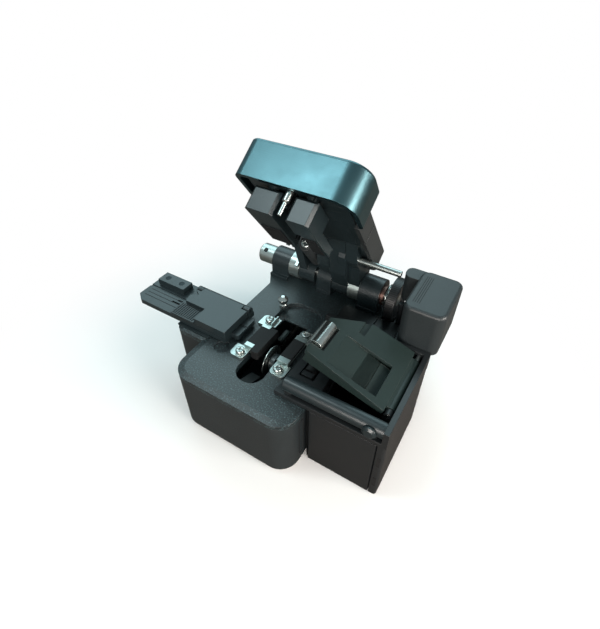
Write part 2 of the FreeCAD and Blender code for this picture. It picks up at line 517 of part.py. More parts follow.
lower = slab("CaseLowerBlock", ("noseRight + wallGap", "caseRight"), ("caseFront", "caseBack"),
    ("caseLow", "floorTop"),
             {0: "3", 1: "1.5", 2: "1.5"})
floor = slab("CaseFloor", ("caseLeft", "noseRight + wallGap + 2"), ("caseFront", "caseBack"),
    ("floorLow", "floorTop"))
backWall = slab("CaseBackWall", ("caseLeft", "caseRight"), ("caseBack - caseWall", "caseBack"),
                ("floorLow", "rimTop"))
rightWall = slab("CaseRightWall", ("caseRight - caseWall", "caseRight"), ("caseFront", "caseBack"),
                 ("floorLow", "rimTop"))
sill = slab("CaseSill", ("caseLeft", "caseRight"), ("caseFront", "caseFront + caseWall"),
    ("floorLow", "sillTop"))
chute = slab("CaseChute", ("noseRight + wallGap + 2", "panelRight - caseWall"),
    ("caseFront + panelThick + 3", "coverBack"),
             ("binTop", "floorTop + 1"))
binSpace = slab("BinSpace", ("noseRight + wallGap + caseWall - 1", "panelRight"),
    ("caseFront - 1", "coverBack + 0.6"),
                ("caseLow + binGap + 1", "binTop + binGap"))
panelSpace = slab("PanelSpace", ("noseRight + wallGap + 1.2", "panelRight"),
    ("caseFront - 1", "caseFront + panelThick"),
                  ("caseLow - 1", "floorLow"))
lidBlock = slab("LidBlock", ("lidAxisX - lidBarrel", "lidAxisX + lidBarrel"),
    ("coverFront", "coverFront + 2.6"),
                ("floorTop", "lidAxisZ"))
lidHead = pin("LidHead", "Y", ("lidAxisX", "coverFront", "lidAxisZ"), "lidBarrel", ("0", "2.6"))
lidPinBore = pin("LidPinBore", "Y", ("lidAxisX", "0", "lidAxisZ"), "lidPin",
    ("coverFront - 1", "coverFront + 4"))
shell = join("CaseShell", [lower, floor, backWall, rightWall, sill, lidBlock, lidHead])
done("collector_case", cut("CaseCut", shell, [chute, binSpace, panelSpace, feedPocket, lidPinBore]))

tray = slab("Tray", ("noseRight + wallGap + caseWall - 1 + binGap", "panelRight - binGap"),
            ("caseFront + panelThick - 0.5", "coverBack"), ("caseLow + 2 * binGap + 1", "binTop"))
hollow = slab("TrayHollow", ("noseRight + wallGap + caseWall - 1 + binGap + binWall",
    "panelRight - binGap - binWall"),
              ("caseFront + panelThick + binWall", "coverBack - binWall"),
              ("binFloor + binWall", "binTop + 1"))
panel = slab("BinPanel", ("noseRight + wallGap + 1.2 + binGap", "panelRight - binGap"),
             ("caseFront", "caseFront + panelThick - binGap"), ("caseLow", "floorLow - binGap"),
             {0: "1", 1: "0.8"})
done("scrap_bin", join("BinWhole", [cut("TrayCut", tray, [hollow]), panel]))

bar = pin("Bar", "X", ("0", "barY", "barZ"), "barRadius", ("barLeft", "caseRight - caseWall"))
barFlat = slab("BarFlat", ("barLeft - 1", "caseRight"), ("barY + 1.6", "barY + 5"), ("barZ - 5", "barZ + 5"))
done("collector_rail", cut("BarCut", bar, [barFlat]))
bossLeft = slab("BossLeft", ("bossLeftX - 1.8", "bossLeftX + 1.8"), ("barY - 2.6", "barY + 1.6"),
                ("floorTop", "barZ - barRadius + 2"), {0: "1", 1: "1"})
bossRight = slab("BossRight", ("bossRightX - bossRadius", "bossRightX + bossRadius"),
    ("barY - 2.6", "barY + 1.6"),
                 ("floorTop", "barZ - barRadius + 2"))
barRoom = pin("BarRoom", "X", ("0", "barY", "barZ"), "barRadius", ("barLeft - 2", "caseRight"))
done("rail_brackets", cut("BracketCut", join("Brackets", [bossLeft, bossRight]), [barRoom, sill]))
done("rail_end_pin", turned("RailPin", "Y", ("bossRightX", "barY - 3.6", "barZ"), [
    ("0", "-1.2"), ("bossRadius - 1", "-1.2"), ("bossRadius", "-0.4"), ("bossRadius", "0.3"), ("0", "0.3")]))

lidLine = [("coverRear", "coverFront"), ("coverRear", "coverBack"), ("coverBend", "coverBack"),
           ("coverLeft", "coverEndBack"), ("coverLeft", "feedBack + feedGap"),
           ("feedX + feedRadius + 0.6", "feedBack + feedGap"),
           ("feedX + feedRadius + 0.6", "feedFront - feedGap"), ("coverLeft", "feedFront - feedGap"),
           ("coverLeft", "coverEndFront")]
cover = prism("Cover", "XY", lidLine, ("coverTop - coverThick", "coverTop"),
    {3: "1", 4: "1", 7: "1", 8: "1.5"})
hub = pin("CoverBarrel", "Y", ("lidAxisX", "0", "lidAxisZ"), "lidBarrel", ("coverFront + 3", "coverBack - 3"))
bridge = slab("CoverRear", ("coverRear - 1", "lidAxisX"), ("coverFront + 3", "coverBack - 3"),
              ("coverTop - coverThick", "coverTop - 0.3"))
recess = slab("CoverRecess", ("recessLeft", "recessRight"), ("recessFront", "recessBack"),
              ("coverTop - recessDeep", "coverTop + 1"), {i: "1.5" for i in range(4)})
ears = slab("CoverEars", ("feedX - 2", "feedX + 2"), ("feedFront - 2.7", "feedBack + 2.7"),
            ("feedZ - 2.2", "coverTop - 1"))
between = slab("EarSpace", ("feedX - feedRadius - 1", "feedX + feedRadius + 0.6"),
               ("feedFront - feedGap", "feedBack + feedGap"), ("feedZ - 5", "coverTop + 1"))
pinHole = pin("FeedPinHole", "Y", ("feedX", "0", "feedZ"), "feedPin", ("feedFront - 4", "feedBack + 4"))
lidHole = pin("LidPinHole", "Y", ("lidAxisX", "0", "lidAxisZ"), "lidPin + runGap",
              ("coverFront - 1", "coverBack + 1"))
lidWhole = join("CoverWhole", [cover, hub, bridge, ears])
done("collector_lid", cut("CoverCut", lidWhole, [recess, between, pinHole, lidHole]), lidOpen)
done("lid_hinge_pin", pin("LidPin", "Y", ("lidAxisX", "0", "lidAxisZ"), "lidPin",
    ("coverFront", "caseBack - caseWall")))
done("feed_roller_pin", pin("FeedPin", "Y", ("feedX", "0", "feedZ"), "feedPin",
                            ("feedFront - 2.7", "feedBack + 2.7")), lidOpen)
done("feed_roller_upper", tube("FeedUpper", "Y", ("feedX", "0", "feedZ"), "feedPin + runGap", "feedRadius",
                               ("feedFront", "feedBack")), lidOpen)
done("feed_roller_lower", turned("FeedLower", "Y", ("feedX", "0", "lowerZ"), [
    ("0", "feedFront - bearingThick"), ("feedPin", "feedFront - bearingThick"), ("feedPin", "feedFront"),
    ("lowerRadius", "feedFront"), ("lowerRadius", "feedBack"), ("feedPin", "feedBack"),
    ("feedPin", "feedBack + bearingThick"), ("0", "feedBack + bearingThick")]))
bearingBore = pin("BearingBore", "Y", ("feedX", "0", "lowerZ"), "feedPin + runGap",
                  ("feedFront - 5", "feedBack + 5"))
bearings = join("BearingBlocks", [
    slab("BearingFront", ("feedX - 2.6", "feedX + 2.6"), ("feedFront - bearingThick - 0.3",
    "feedFront - 0.3"),
         ("lowerZ - lowerRadius - 0.5", "bearingTop")),
    slab("BearingBack", ("feedX - 2.6", "feedX + 2.6"), ("feedBack + 0.3", "feedBack + bearingThick + 0.3"),
         ("lowerZ - lowerRadius - 0.5", "bearingTop"))])
done("feed_bearings", cut("BearingCut", bearings, [bearingBore]))

# ---- rear drive housing -----------------------------------------------------------------------

mainBlock = slab("DriveMain", ("driveLeft", "driveRight"), ("driveFront", "driveBack"),
    ("driveLow", "driveTop"),
                 {i: "driveCorner" for i in range(4)})
soften(mainBlock, "Fillet", "1.6", lambda box: box.ZMin > value("driveTop") - 0.01)
lobe = slab("DriveLobe", (drumOut + " + lobeGap", "driveLeft + 6"), ("lobeFront", "driveBack"),
    ("lobeLow", "driveTop - 1.2"),
            {0: "lobeCorner", 3: "lobeCorner"})
column = slab("DriveColumn", ("driveLeft", "columnRight"), ("columnFront", "columnBack"),
    ("caseLow", "driveLow + 4"),
              {i: "2" for i in range(4)})
done("drive_housing", join("DriveWhole", [mainBlock, lobe, column]))
done("drive_stay", slab("Stay", (drumOut + " + stayGap", drumOut + " + stayGap + stayWide"),
    ("lobeFront - stayDeep", "lobeFront"),
                        ("deckTop", "stayTop"), {0: "1", 1: "1"}))
stepLow = slab("StepLow", ("stepLeft + 2", "stepRight"), ("caseBack + 0.6", "stepLowBack"),
               ("deckTop", "deckTop + stepThick"))
stepHigh = slab("StepHigh", ("stepLeft", drumIn + " - 2"), ("caseBack + 2", "stepHighBack"),
                ("deckTop + stepThick", "deckTop + 2 * stepThick"))
done("cover_plate", join("Steps", [stepLow, stepHigh]))

# ---- arm, drawn closed and turned open --------------------------------------------------------

webBore = pin("WebBore", "X", axle, "shaftRadius", ("webLeftOut - 2", "webRightOut + 2"))
frontLine = [("webFront", "frameLow"), ("webFront + 3", "frameLow - 5.4"),
             ("axisY - barrelRadius * 0.9", "axisZ - 2.7")]


def web(label, x, core, line=frontLine):
    """One leg of the arm, from the frame plate back and down to the hinge."""
    leg = prism(label, "YZ", line + [
        ("axisY", "axisZ - 1"), ("axisY + webRear", "axisZ + 3"), ("slabEnd + 4", "frameHigh + 1"),
        ("slabEnd - slabWall - 0.3", "frameHigh + 3"), ("slabEnd - slabWall - 0.3", "frameHigh - 1")], x)
    return cut(label + "Cut", leg, [pin(label + "Core", "X", axle, core,
        ("webLeftOut - 2", "webRightOut + 2"))])


plate = slab("FramePlate", ("slabLeft + slabWall + frameSide", "slabRight - slabWall - frameSide"),
             ("frameFront", "slabEnd - slabWall - frameSide"), ("frameLow", "frameHigh"),
             {0: "capCornerLeft - capWall", 1: "capCornerRight - capWall", 2: "slabCorner", 3: "slabCorner"})
barrels = tube("BarrelLeft", "X", axle, "shaftRadius", "barrelRadius", ("collarLeftIn", "barrelLeftIn"))
barrelRight = tube("BarrelRight", "X", axle, "shaftRadius", "barrelRadius",
    ("barrelRightIn", "collarRightIn"))
leftLeg = web("LegLeft", ("webLeftOut", "webLeftIn"), "shaftRadius")
cheekLine = [("cheekFront", "frameLow"), ("cheekFront + 2.5", "cheekLow"), ("axisY - 17", "cheekLow - 0.8"),
             ("axisY - 9.5", "axisZ - 0.5"), ("axisY - barrelRadius * 0.9", "axisZ - 2.7")]
rightLeg = web("LegRight", ("collarRightIn", "webRightOut"), "collarRadius", cheekLine)
innerLeg = web("LegInner", ("collarRightIn - 3.5", "collarRightIn"), "shaftRadius")
rearTie = slab("RearTie", ("webLeftOut", "webRightOut"), ("slabEnd - 6", "slabEnd + 3.6"),
               ("frameLow - 1.5", "frameLow + 0.6"))
stemHoles = [pin("StemHole%d" % i, "Z", (x, y, "0"), "stemRadius + runGap", ("frameLow - 4", "frameHigh + 2"))
             for i, (x, y) in enumerate([
                 ("blockLeftOut / 2 + blockLeftIn / 2", "stemFront"),
                 ("blockLeftOut / 2 + blockLeftIn / 2", "stemBack"),
                 ("blockRightIn / 2 + blockRightOut / 2", "stemFront"),
                 ("blockRightIn / 2 + blockRightOut / 2", "stemBack")])]
slabBack = ("slabEnd - slabWall - 0.1", "slabEnd + 0.1")
frame = join("FrameWhole", [plate, barrels, barrelRight, leftLeg, innerLeg, rightLeg, rearTie])
rearSlot = slab("RearSlot", ("webLeftOut - 0.2", "webRightOut + 0.2"),
    ("slabEnd - slabWall - 0.2", "slabEnd + 0.2"),
                ("slabLow - 1", "frameHigh + 3.2"))
done("arm_frame", cut("FrameCut", frame, stemHoles), armOpen)

shellLine = [("slabLeft", "capEnd + sideGap"), ("slabRight", "capEnd + sideGap"), ("slabRight", "slabEnd"),
             ("slabLeft", "slabEnd")]
slabOuter = prism("SlabOuter", "XY", shellLine, ("slabLow", "slabHigh"), {2: "slabCorner", 3: "slabCorner"})
soften(slabOuter, "Fillet", "1.2", lambda box: box.ZMin > value("slabHigh") - 0.01 and box.YMax > 0)
slabInner = slab("SlabInner", ("slabLeft + slabWall", "slabRight - slabWall"),
                 ("capEnd - 1", "slabEnd - slabWall"), ("slabLow - 1", "slabHigh - slabWall"),
                 {2: "slabCorner - slabWall", 3: "slabCorner - slabWall"})
seam = [slab("SeamLeft", ("slabLeft - 1", "slabLeft + grooveDeep"), ("grooveY", "grooveY + grooveWide"),
             ("slabLow - 1", "slabHigh + 1")),
        slab("SeamRight", ("slabRight - grooveDeep", "slabRight + 1"), ("grooveY", "grooveY + grooveWide"),
             ("slabLow - 1", "slabHigh + 1"))]
done("arm_rear_shell", cut("SlabCut", slabOuter, [slabInner, rearSlot] + seam), armOpen)

capLine = [("armLeft", "armFront"), ("armRight", "armFront"), ("armRight", "capEnd"), ("armLeft", "capEnd")]
capOuter = prism("CapOuter", "XY", capLine, ("capLow", "capHigh"),
                 {0: "capCornerLeft", 1: "capCornerRight", 2: "2", 3: "2"})
soften(capOuter, "Fillet", "capEdge", lambda box: box.ZMin > value("capHigh") - 0.01)
capInner = slab("CapInner", ("armLeft + capWall", "armRight - capWall"),
    ("armFront + capWall", "capEnd - capWall"),
                ("capLow - 1", "capHigh - capWall"), {0: "capCornerLeft - capWall",
                1: "capCornerRight - capWall"})
capGate = slab("CapGate", ("slabLeft - 0.1", "slabRight + 0.1"), ("capEnd - capWall - 1", "capEnd + 1"),
               ("capLow - 1", "frameHigh + 0.3"))
done("arm_cap", cut("CapCut", capOuter, [capInner, capGate]), armOpen)


def upperClamp(side, x):
    """A sprung clamp block of the arm: block with two stems, and the rubber pad under it."""
    middle = "%s / 2 + %s / 2" % x
    block = slab("Block" + side, x, ("blockFront", "blockBack"), ("blockLow", "blockHigh"))
    soften(block, "Chamfer", "blockEdge", lambda box: box.YMax < value("blockFront") + 0.01
           and (box.ZMin > value("blockHigh") - 0.01 or box.ZLength > 5))
    inner = ("%s + upperPadInset" % x[0], "%s - upperPadInset" % x[1])
    long = ("-1 * padHalf - 1.5", "padHalf + 0.6")
    seat = slab("PadSeat" + side, inner, long, ("blockLow - 1", "blockLow + upperPadBuried"))
    stems = [pin("Stem%s%d" % (side, i), "Z", (middle, y, "0"), "stemRadius", ("blockHigh - 1", "stemHigh"))
             for i, y in enumerate(["stemFront", "stemBack"])]
    step = slab("BlockStep" + side, ("%s - 1" % x[0], "%s + 1" % x[1]), ("stepY", "blockBack + 1"),
                ("stepZ", "blockHigh + 1"))
    low = side.lower()
    done("upper_clamp_" + low, cut("UpperClamp" + side, join("ClampWhole" + side, [block] + stems),
        [seat, step]),
         armOpen)
    done("upper_pad_" + low, slab("UpperPad" + side, inner, long,
                                  ("blockLow - upperPadThick + 0.2", "blockLow + upperPadBuried")), armOpen)


upperClamp("Left", ("blockLeftOut", "blockLeftIn"))
upperClamp("Right", ("blockRightIn", "blockRightOut"))
done("clamp_side_screws", join("SideScrews", [
    pin("SideScrew%d" % i, "X", ("blockLeftOut", y, "sideScrewZ"), "sideScrewRadius",
    ("-1 * sideScrewHigh", "0"))
    for i, y in enumerate(["sideScrewY", "sideScrewY + sideScrewGap"])]), armOpen)

anvilPost = slab("AnvilPost", ("anvilX - anvilHalf", "anvilX + anvilHalf"), ("anvilFront", "anvilBack"),
                 ("anvilLow", "frameLow"))
anvilTip = pin("AnvilTip", "Z", ("anvilX", "0", "0"), "anvilTipRadius", ("anvilTip", "anvilLow + 1"))
done("anvil", join("AnvilWhole", [anvilPost, anvilTip]), armOpen)
done("front_stop_pin", turned("FrontPin", "Z", ("anvilX", "pinY", "0"), [
    ("0", "pinLow"), ("pinRadius", "pinLow"), ("pinRadius", "pinHigh - 3"), ("pinCollar", "pinHigh - 2.4"),
    ("pinCollar", "frameLow"), ("0", "frameLow")]), armOpen)
done("adjuster_barrel", turned("Adjuster", "Y", ("cylinderX", "0", "cylinderZ"), [
    ("0", "cylinderFront"), ("cylinderRadius", "cylinderFront"), ("cylinderRadius", "cylinderBack"),
    ("0", "cylinderBack")]), armOpen)
done("adjuster_screw", turned("AdjusterScrew", "Y", ("cylinderX", "cylinderFront", "cylinderZ"), [
    ("0", "-1.3"), ("1.7", "-1.3"), ("2.4", "-0.5"), ("2.4", "0"), ("0", "0")]), armOpen)
trip = [("tripFront", "tripLow"), ("tripFront + 0.9", "tripLow"), ("tripFront + 0.9", "frameLow - 0.9"),
        ("tripBack + 3", "frameLow - 0.9"), ("tripBack + 3", "frameLow"), ("tripFront", "frameLow")]
tripPlate = prism("Trip", "YZ", trip, ("tripLeft", "tripRight"))
tripSlot = slab("TripSlot", ("tripLeft + tripNotch", "tripRight - tripNotch + 0.6"),
    ("tripFront - 1", "tripFront + 2"),
                ("tripLow - 1", "tripLow + 2.4"))
done("trip_bracket", cut("TripCut", tripPlate, [tripSlot]), armOpen)
done("cross_rod", pin("CrossRod", "X", ("0", "rodY", "rodZ"), "rodRadius", ("webRightOut", "rodEnd")),
    armOpen)

# ---- fibre holder -----------------------------------------------------------------------------

shelf = slab("Shelf", ("sideLeft + 0.6", "neckLeft - 0.6"), ("railFront", "railBack"), ("deckTop", "railTop"))
ridge = slab("Ridge", ("sideLeft + 2", "notchX - 5"), ("-1 * ridgeHalf", "ridgeHalf"),
             ("railTop - 0.5", "railTop + ridgeHigh"))
done("holder_rail", join("RailWhole", [shelf, ridge]))

holderLine = [("holderLeft", "holderFront + 3"), ("holderLeft + 4", "holderFront"),
    ("holderRight", "holderFront"),
              ("holderRight", "-1 * tongueHalf"), ("tongueRight", "-1 * tongueHalf"),
              ("tongueRight", "tongueHalf"),
              ("holderRight", "tongueHalf"), ("holderRight", "holderBack"), ("holderLeft + 3", "holderBack"),
              ("holderLeft", "holderBack - 3")]
holder = prism("Holder", "XY", holderLine, ("holderLow", "holderTop"), {i: "1" for i in (4, 5)})
raised = slab("HolderBlock", ("blockEndLeft", "blockEndRight"), ("holderBlockFront", "holderBlockBack"),
              ("holderTop", "holderBlockTop"))
earAt = {"Left": ("tabLeft + 0.4", "tabLeft + 0.4 + earThick"), "Right": ("lidRight - earThick", "lidRight")}
earPieces = []
for side, x in earAt.items():
    earPieces.append(slab("Ear" + side, x, ("holderPinY - earRadius", "holderPinY + earRadius"),
                          ("holderTop", "holderPinZ")))
    earPieces.append(pin("EarHead" + side, "X", ("0", "holderPinY", "holderPinZ"), "earRadius", x))
hingeHole = pin("HingeHole", "X", ("0", "holderPinY", "holderPinZ"), "holderPinRadius",
    ("tabLeft - 1", "lidRight + 1"))
underSlot = slab("UnderSlot", ("holderLeft + 14", "tongueRight + 1"),
    ("-1 * ridgeHalf - seatGap", "ridgeHalf + seatGap"),
                 ("holderLow - 1", "railTop + ridgeHigh + seatGap"))
fibreGroove = slab("FibreGroove", ("holderLeft - 1", "tongueRight + 1"), ("-1 * grooveHalf", "grooveHalf"),
                   ("fibreTop - 0.1", "holderTop + 1"))
smallSlots = [slab("HolderSlot%d" % i, ("-57.6 + %s" % i, "-51.4 + %s" % i),
    ("-1 * 4.6 + %s" % i, "-1 * 3.6 + %s" % i),
                   ("holderTop - 0.8", "holderTop + 1")) for i in (0, 2)]
done("fibre_holder", cut("HolderCut", join("HolderWhole", [holder, raised] + earPieces),
                         [hingeHole, underSlot, fibreGroove] + smallSlots))
done("holder_pin", pin("HolderPin", "X", ("0", "holderPinY", "holderPinZ"), "holderPinRadius",
                       ("tabLeft + 0.4", "lidRight")))
leaf = prism("HolderLid", "XY", [
    ("lidLeft + 3", "lidFront"), ("lidRight", "lidFront"), ("lidRight", "lidBack"), ("lidLeft", "lidBack"),
    ("lidLeft", "5.4"), ("lidLeft + 3.4", "3.2"), ("lidLeft", "1")], ("lidLow", "lidTop"),
    {0: "0.6", 1: "0.6"})
lidTab = slab("HolderTab", ("tabLeft", "tabRight"), ("lidFront - 1", "tabBack"),
    ("tabTop - 1.2", "lidTop + 1"))
tabRibs = slab("TabRibs", ("tabLeft", "tabRight"), ("lidFront - 0.9", "tabBack"),
    ("tabTop - 1.6", "tabTop - 0.8"))
lidKnuckle = pin("LidKnuckle", "X", ("0", "holderPinY", "holderPinZ"), "earRadius",
                 ("tabLeft + 0.7 + earThick", "lidRight - earThick - 0.3"))
lidLink = slab("LidLink", ("tabLeft + 0.7 + earThick", "lidRight - earThick - 0.3"),
    ("lidBack - 1", "holderPinY"),
               ("holderPinZ - 1", "holderPinZ + earRadius"))
lidBore = pin("LidBore", "X", ("0", "holderPinY", "holderPinZ"), "holderPinRadius + runGap",
              ("tabLeft - 1", "lidRight + 1"))
done("holder_lid", cut("HolderLidCut", join("HolderLidWhole", [
    cut("LeafCut", leaf, [lidTab]), tabRibs, lidKnuckle, lidLink]), [lidBore]))

# ---- check and write --------------------------------------------------------------------------

doc.recompute()
os.makedirs("parts", exist_ok=True)
for obj in doc.Objects:
    if "Invalid" in obj.State or "Error" in obj.State:
        raise RuntimeError("%s did not build: %s" % (obj.Label, obj.State))
for obj in finished:
    if obj.Shape.isNull() or not obj.Shape.isValid():
        raise RuntimeError("%s has no valid shape" % obj.Label)
    obj.Shape.exportStep("parts/%s.step" % obj.Label)
    print(obj.Label, len(obj.Shape.Solids), round(obj.Shape.Volume, 1))
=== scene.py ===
import bpy
import bmesh
import json
import math
from mathutils import Matrix, Vector


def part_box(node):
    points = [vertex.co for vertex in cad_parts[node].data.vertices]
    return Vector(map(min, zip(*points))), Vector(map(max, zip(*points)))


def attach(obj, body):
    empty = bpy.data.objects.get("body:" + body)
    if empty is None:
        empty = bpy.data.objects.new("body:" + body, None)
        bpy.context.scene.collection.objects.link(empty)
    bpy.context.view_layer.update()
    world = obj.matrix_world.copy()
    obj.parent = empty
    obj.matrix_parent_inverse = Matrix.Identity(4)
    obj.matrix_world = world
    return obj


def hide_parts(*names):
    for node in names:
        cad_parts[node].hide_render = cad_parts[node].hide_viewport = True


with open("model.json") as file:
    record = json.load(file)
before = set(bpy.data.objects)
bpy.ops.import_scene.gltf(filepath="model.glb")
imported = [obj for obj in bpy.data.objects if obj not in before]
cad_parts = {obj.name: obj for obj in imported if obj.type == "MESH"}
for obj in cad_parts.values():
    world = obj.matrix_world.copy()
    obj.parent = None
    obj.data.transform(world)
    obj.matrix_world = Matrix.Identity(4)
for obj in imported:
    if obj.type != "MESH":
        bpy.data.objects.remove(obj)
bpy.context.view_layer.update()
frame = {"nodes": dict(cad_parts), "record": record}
print("stage: frame loaded")

mm = 0.001
nodes = frame["nodes"]
joints = {j["name"]: j for j in frame["record"]["behaviour"]["joints"]}


# small helpers

def inMm(*lengths):
    # lengths in millimetres, as metres
    return tuple(length * mm for length in lengths)


def linear(hexText):
    # sRGB hex to a linear colour
    channels = [int(hexText[i:i + 2], 16) / 255 for i in (1, 3, 5)]
    return [c / 12.92 if c <= 0.04045 else ((c + 0.055) / 1.055) ** 2.4 for c in channels] + [1.0]


def addNode(tree, kind, settings=None, inputs=None):
    # inputs maps a socket's name or index to a value or to another socket
    made = tree.nodes.new(kind)
    for key, setting in (settings or {}).items():
        setattr(made, key, setting)
    for key, given in (inputs or {}).items():
        if isinstance(given, bpy.types.NodeSocket):
            tree.links.new(given, made.inputs[key])
        else:
            made.inputs[key].default_value = given
    return made


def newMaterial(name):
    made = bpy.data.materials.new(name)
    made.use_nodes = True
    tree = made.node_tree
    tree.nodes.clear()
    return made, tree


# materials

# tone: the coat; light: the colour of its paler flecks, which are partly the coat's own grain and partly
# painted glints, strongest on the deck; grain: size in mm of its texture, drawn coarser than the real one
# where that would be too fine to show; relief: its depth in mm; edge: how round edges look, in mm;
# shine: strength of the surface reflection
coated = {
    # fine powder coat on cast aluminium: an even black with a soft sheen
    "black_case": {"tone": "#22282a", "light": "#30393b", "rough": 0.42, "grain": 0.35, "relief": 0.012,
                   "edge": 0.35, "shine": 0.55, "metal": 0.0},
    # coarse textured powder coat; its pale teal flecks are painted glints where the grain would catch the
    # light
    "black_deck": {"tone": "#131b1e", "light": "#5d797d", "rough": 0.38, "grain": 0.6, "relief": 0.16,
                   "edge": 0.30, "shine": 0.8, "metal": 0.0},
    # moulded ABS: smooth black with a broad highlight
    "black_plastic": {"tone": "#181c1e", "light": "#23282a", "rough": 0.36, "grain": 0.25, "relief": 0.006,
                      "edge": 0.30, "shine": 0.6, "metal": 0.0},
    # moulded ABS with a green cast, matter than the black
    "olive_plastic": {"tone": "#1a2826", "light": "#223230", "rough": 0.42, "grain": 0.4, "relief": 0.006,
                      "edge": 0.30, "shine": 0.5, "metal": 0.0},
    # painted metal: dark grey and slightly matt
    "grey_case": {"tone": "#272b2c", "light": "#313637", "rough": 0.45, "grain": 0.3, "relief": 0.008,
                  "edge": 0.30, "shine": 0.5, "metal": 0.0},
    # solid rubber: deep black, nearly without highlight
    "black_rubber": {"tone": "#0e1011", "light": "#17191a", "rough": 0.60, "grain": 0.2, "relief": 0.010,
                     "edge": 0.20, "shine": 0.4, "metal": 0.0},
    # cut sheet rubber: dull and slightly rough
    "rubber_mat": {"tone": "#121313", "light": "#1a1b1b", "rough": 0.8, "grain": 0.5, "relief": 0.02,
                   "edge": 0.1, "shine": 0.3, "metal": 0.0},
    # black anodised aluminium: blue-black and smooth, a little metallic
    "black_anodised": {"tone": "#1b2629", "light": "#26353a", "rough": 0.33, "grain": 0.18, "relief": 0.006,
                       "edge": 0.25, "shine": 0.75, "metal": 0.15},
}

# brush: spacing in mm of the marks left by turning, grinding or brushing, which run along the named axis
metals = {
    # machined aluminium: pale and silky
    "alloy": {"tone": "#c6d2cf", "rough": 0.28, "brush": 0.12, "along": "X", "relief": 0.003},
    # stainless steel: bright, with fine marks
    "steel": {"tone": "#c4ccc9", "rough": 0.22, "brush": 0.08, "along": "Y", "relief": 0.002},
    # plated and polished steel: the brightest of them
    "chrome_pin": {"tone": "#d5dbd8", "rough": 0.18, "brush": 0.2, "along": "Y", "relief": 0.001},
    # blackened steel: dark grey with a dull highlight
    "dark_steel": {"tone": "#343a3c", "rough": 0.35, "brush": 0.1, "along": "Z", "relief": 0.002},
    # sintered bronze: reddish and dull
    "bronze": {"tone": "#8c7068", "rough": 0.38, "brush": 0.1, "along": "Y", "relief": 0.002},
    # brushed and anodised aluminium: teal, with long highlights along the brushing
    "teal_cap": {"tone": "#587980", "rough": 0.27, "brush": 0.18, "along": "X", "relief": 0.014},
}

# drift and smudge: size in mm of the slow changes of tone and gloss; edge: roundness of metal edges, in mm;
# stretch: how much longer than wide the brush marks are; deep: the tone that the coat drifts towards
wear = {"drift": 22, "smudge": 9, "edge": 0.18, "stretch": 60, "deep": "#0c0e0f"}


def makeCoated(name, look):
    # powder-coated, moulded or anodised black: fine grain, paler flecks that are partly grain and partly
    # painted glints, slight tone drift, softened edges
    made, tree = newMaterial(name)
    spot = addNode(tree, "ShaderNodeTexCoord").outputs["Object"]
    grain = addNode(tree, "ShaderNodeTexNoise", None,
                    {"Vector": spot, "Scale": 1 / (look["grain"] * mm), "Detail": 3.0, "Roughness": 0.65})
    drift = addNode(tree, "ShaderNodeTexNoise", None,
                    {"Vector": spot, "Scale": 1 / (wear["drift"] * mm), "Detail": 4.0, "Roughness": 0.6})
    # paler flecks by the grain: the coat's own grain tone, and on the deck painted glints
    grainAndGlint = addNode(tree, "ShaderNodeMapRange", None,
                     {"Value": grain.outputs[0], "From Min": 0.52, "From Max": 0.72,
                      "To Min": 0.0, "To Max": 0.75})
    coat = addNode(tree, "ShaderNodeMix", {"data_type": "RGBA"},
                   {0: grainAndGlint.outputs[0], 6: linear(look["tone"]), 7: linear(look["light"])})
    shade = addNode(tree, "ShaderNodeMapRange", None,
                    {"Value": drift.outputs[0], "From Min": 0.3, "From Max": 0.7,
                     "To Min": 0.0, "To Max": 0.2})
    tone = addNode(tree, "ShaderNodeMix", {"data_type": "RGBA"},
                   {0: shade.outputs[0], 6: coat.outputs[2], 7: linear(wear["deep"])})
    rough = addNode(tree, "ShaderNodeMapRange", None,
                    {"Value": grain.outputs[0], "From Min": 0.3, "From Max": 0.7,
                     "To Min": look["rough"] - 0.07, "To Max": look["rough"] + 0.09})
    soft = addNode(tree, "ShaderNodeBevel", {"samples": 4}, {"Radius": look["edge"] * mm})
    bump = addNode(tree, "ShaderNodeBump", None,
                   {"Strength": 0.6, "Distance": look["relief"] * mm, "Height": grain.outputs[0],
                    "Normal": soft.outputs[0]})
    shader = addNode(tree, "ShaderNodeBsdfPrincipled", None, {
        "Base Color": tone.outputs[2], "Roughness": rough.outputs[0], "Metallic": look["metal"],
        "Specular IOR Level": look["shine"], "Normal": bump.outputs[0]})
    addNode(tree, "ShaderNodeOutputMaterial", None, {"Surface": shader.outputs[0]})
    return made


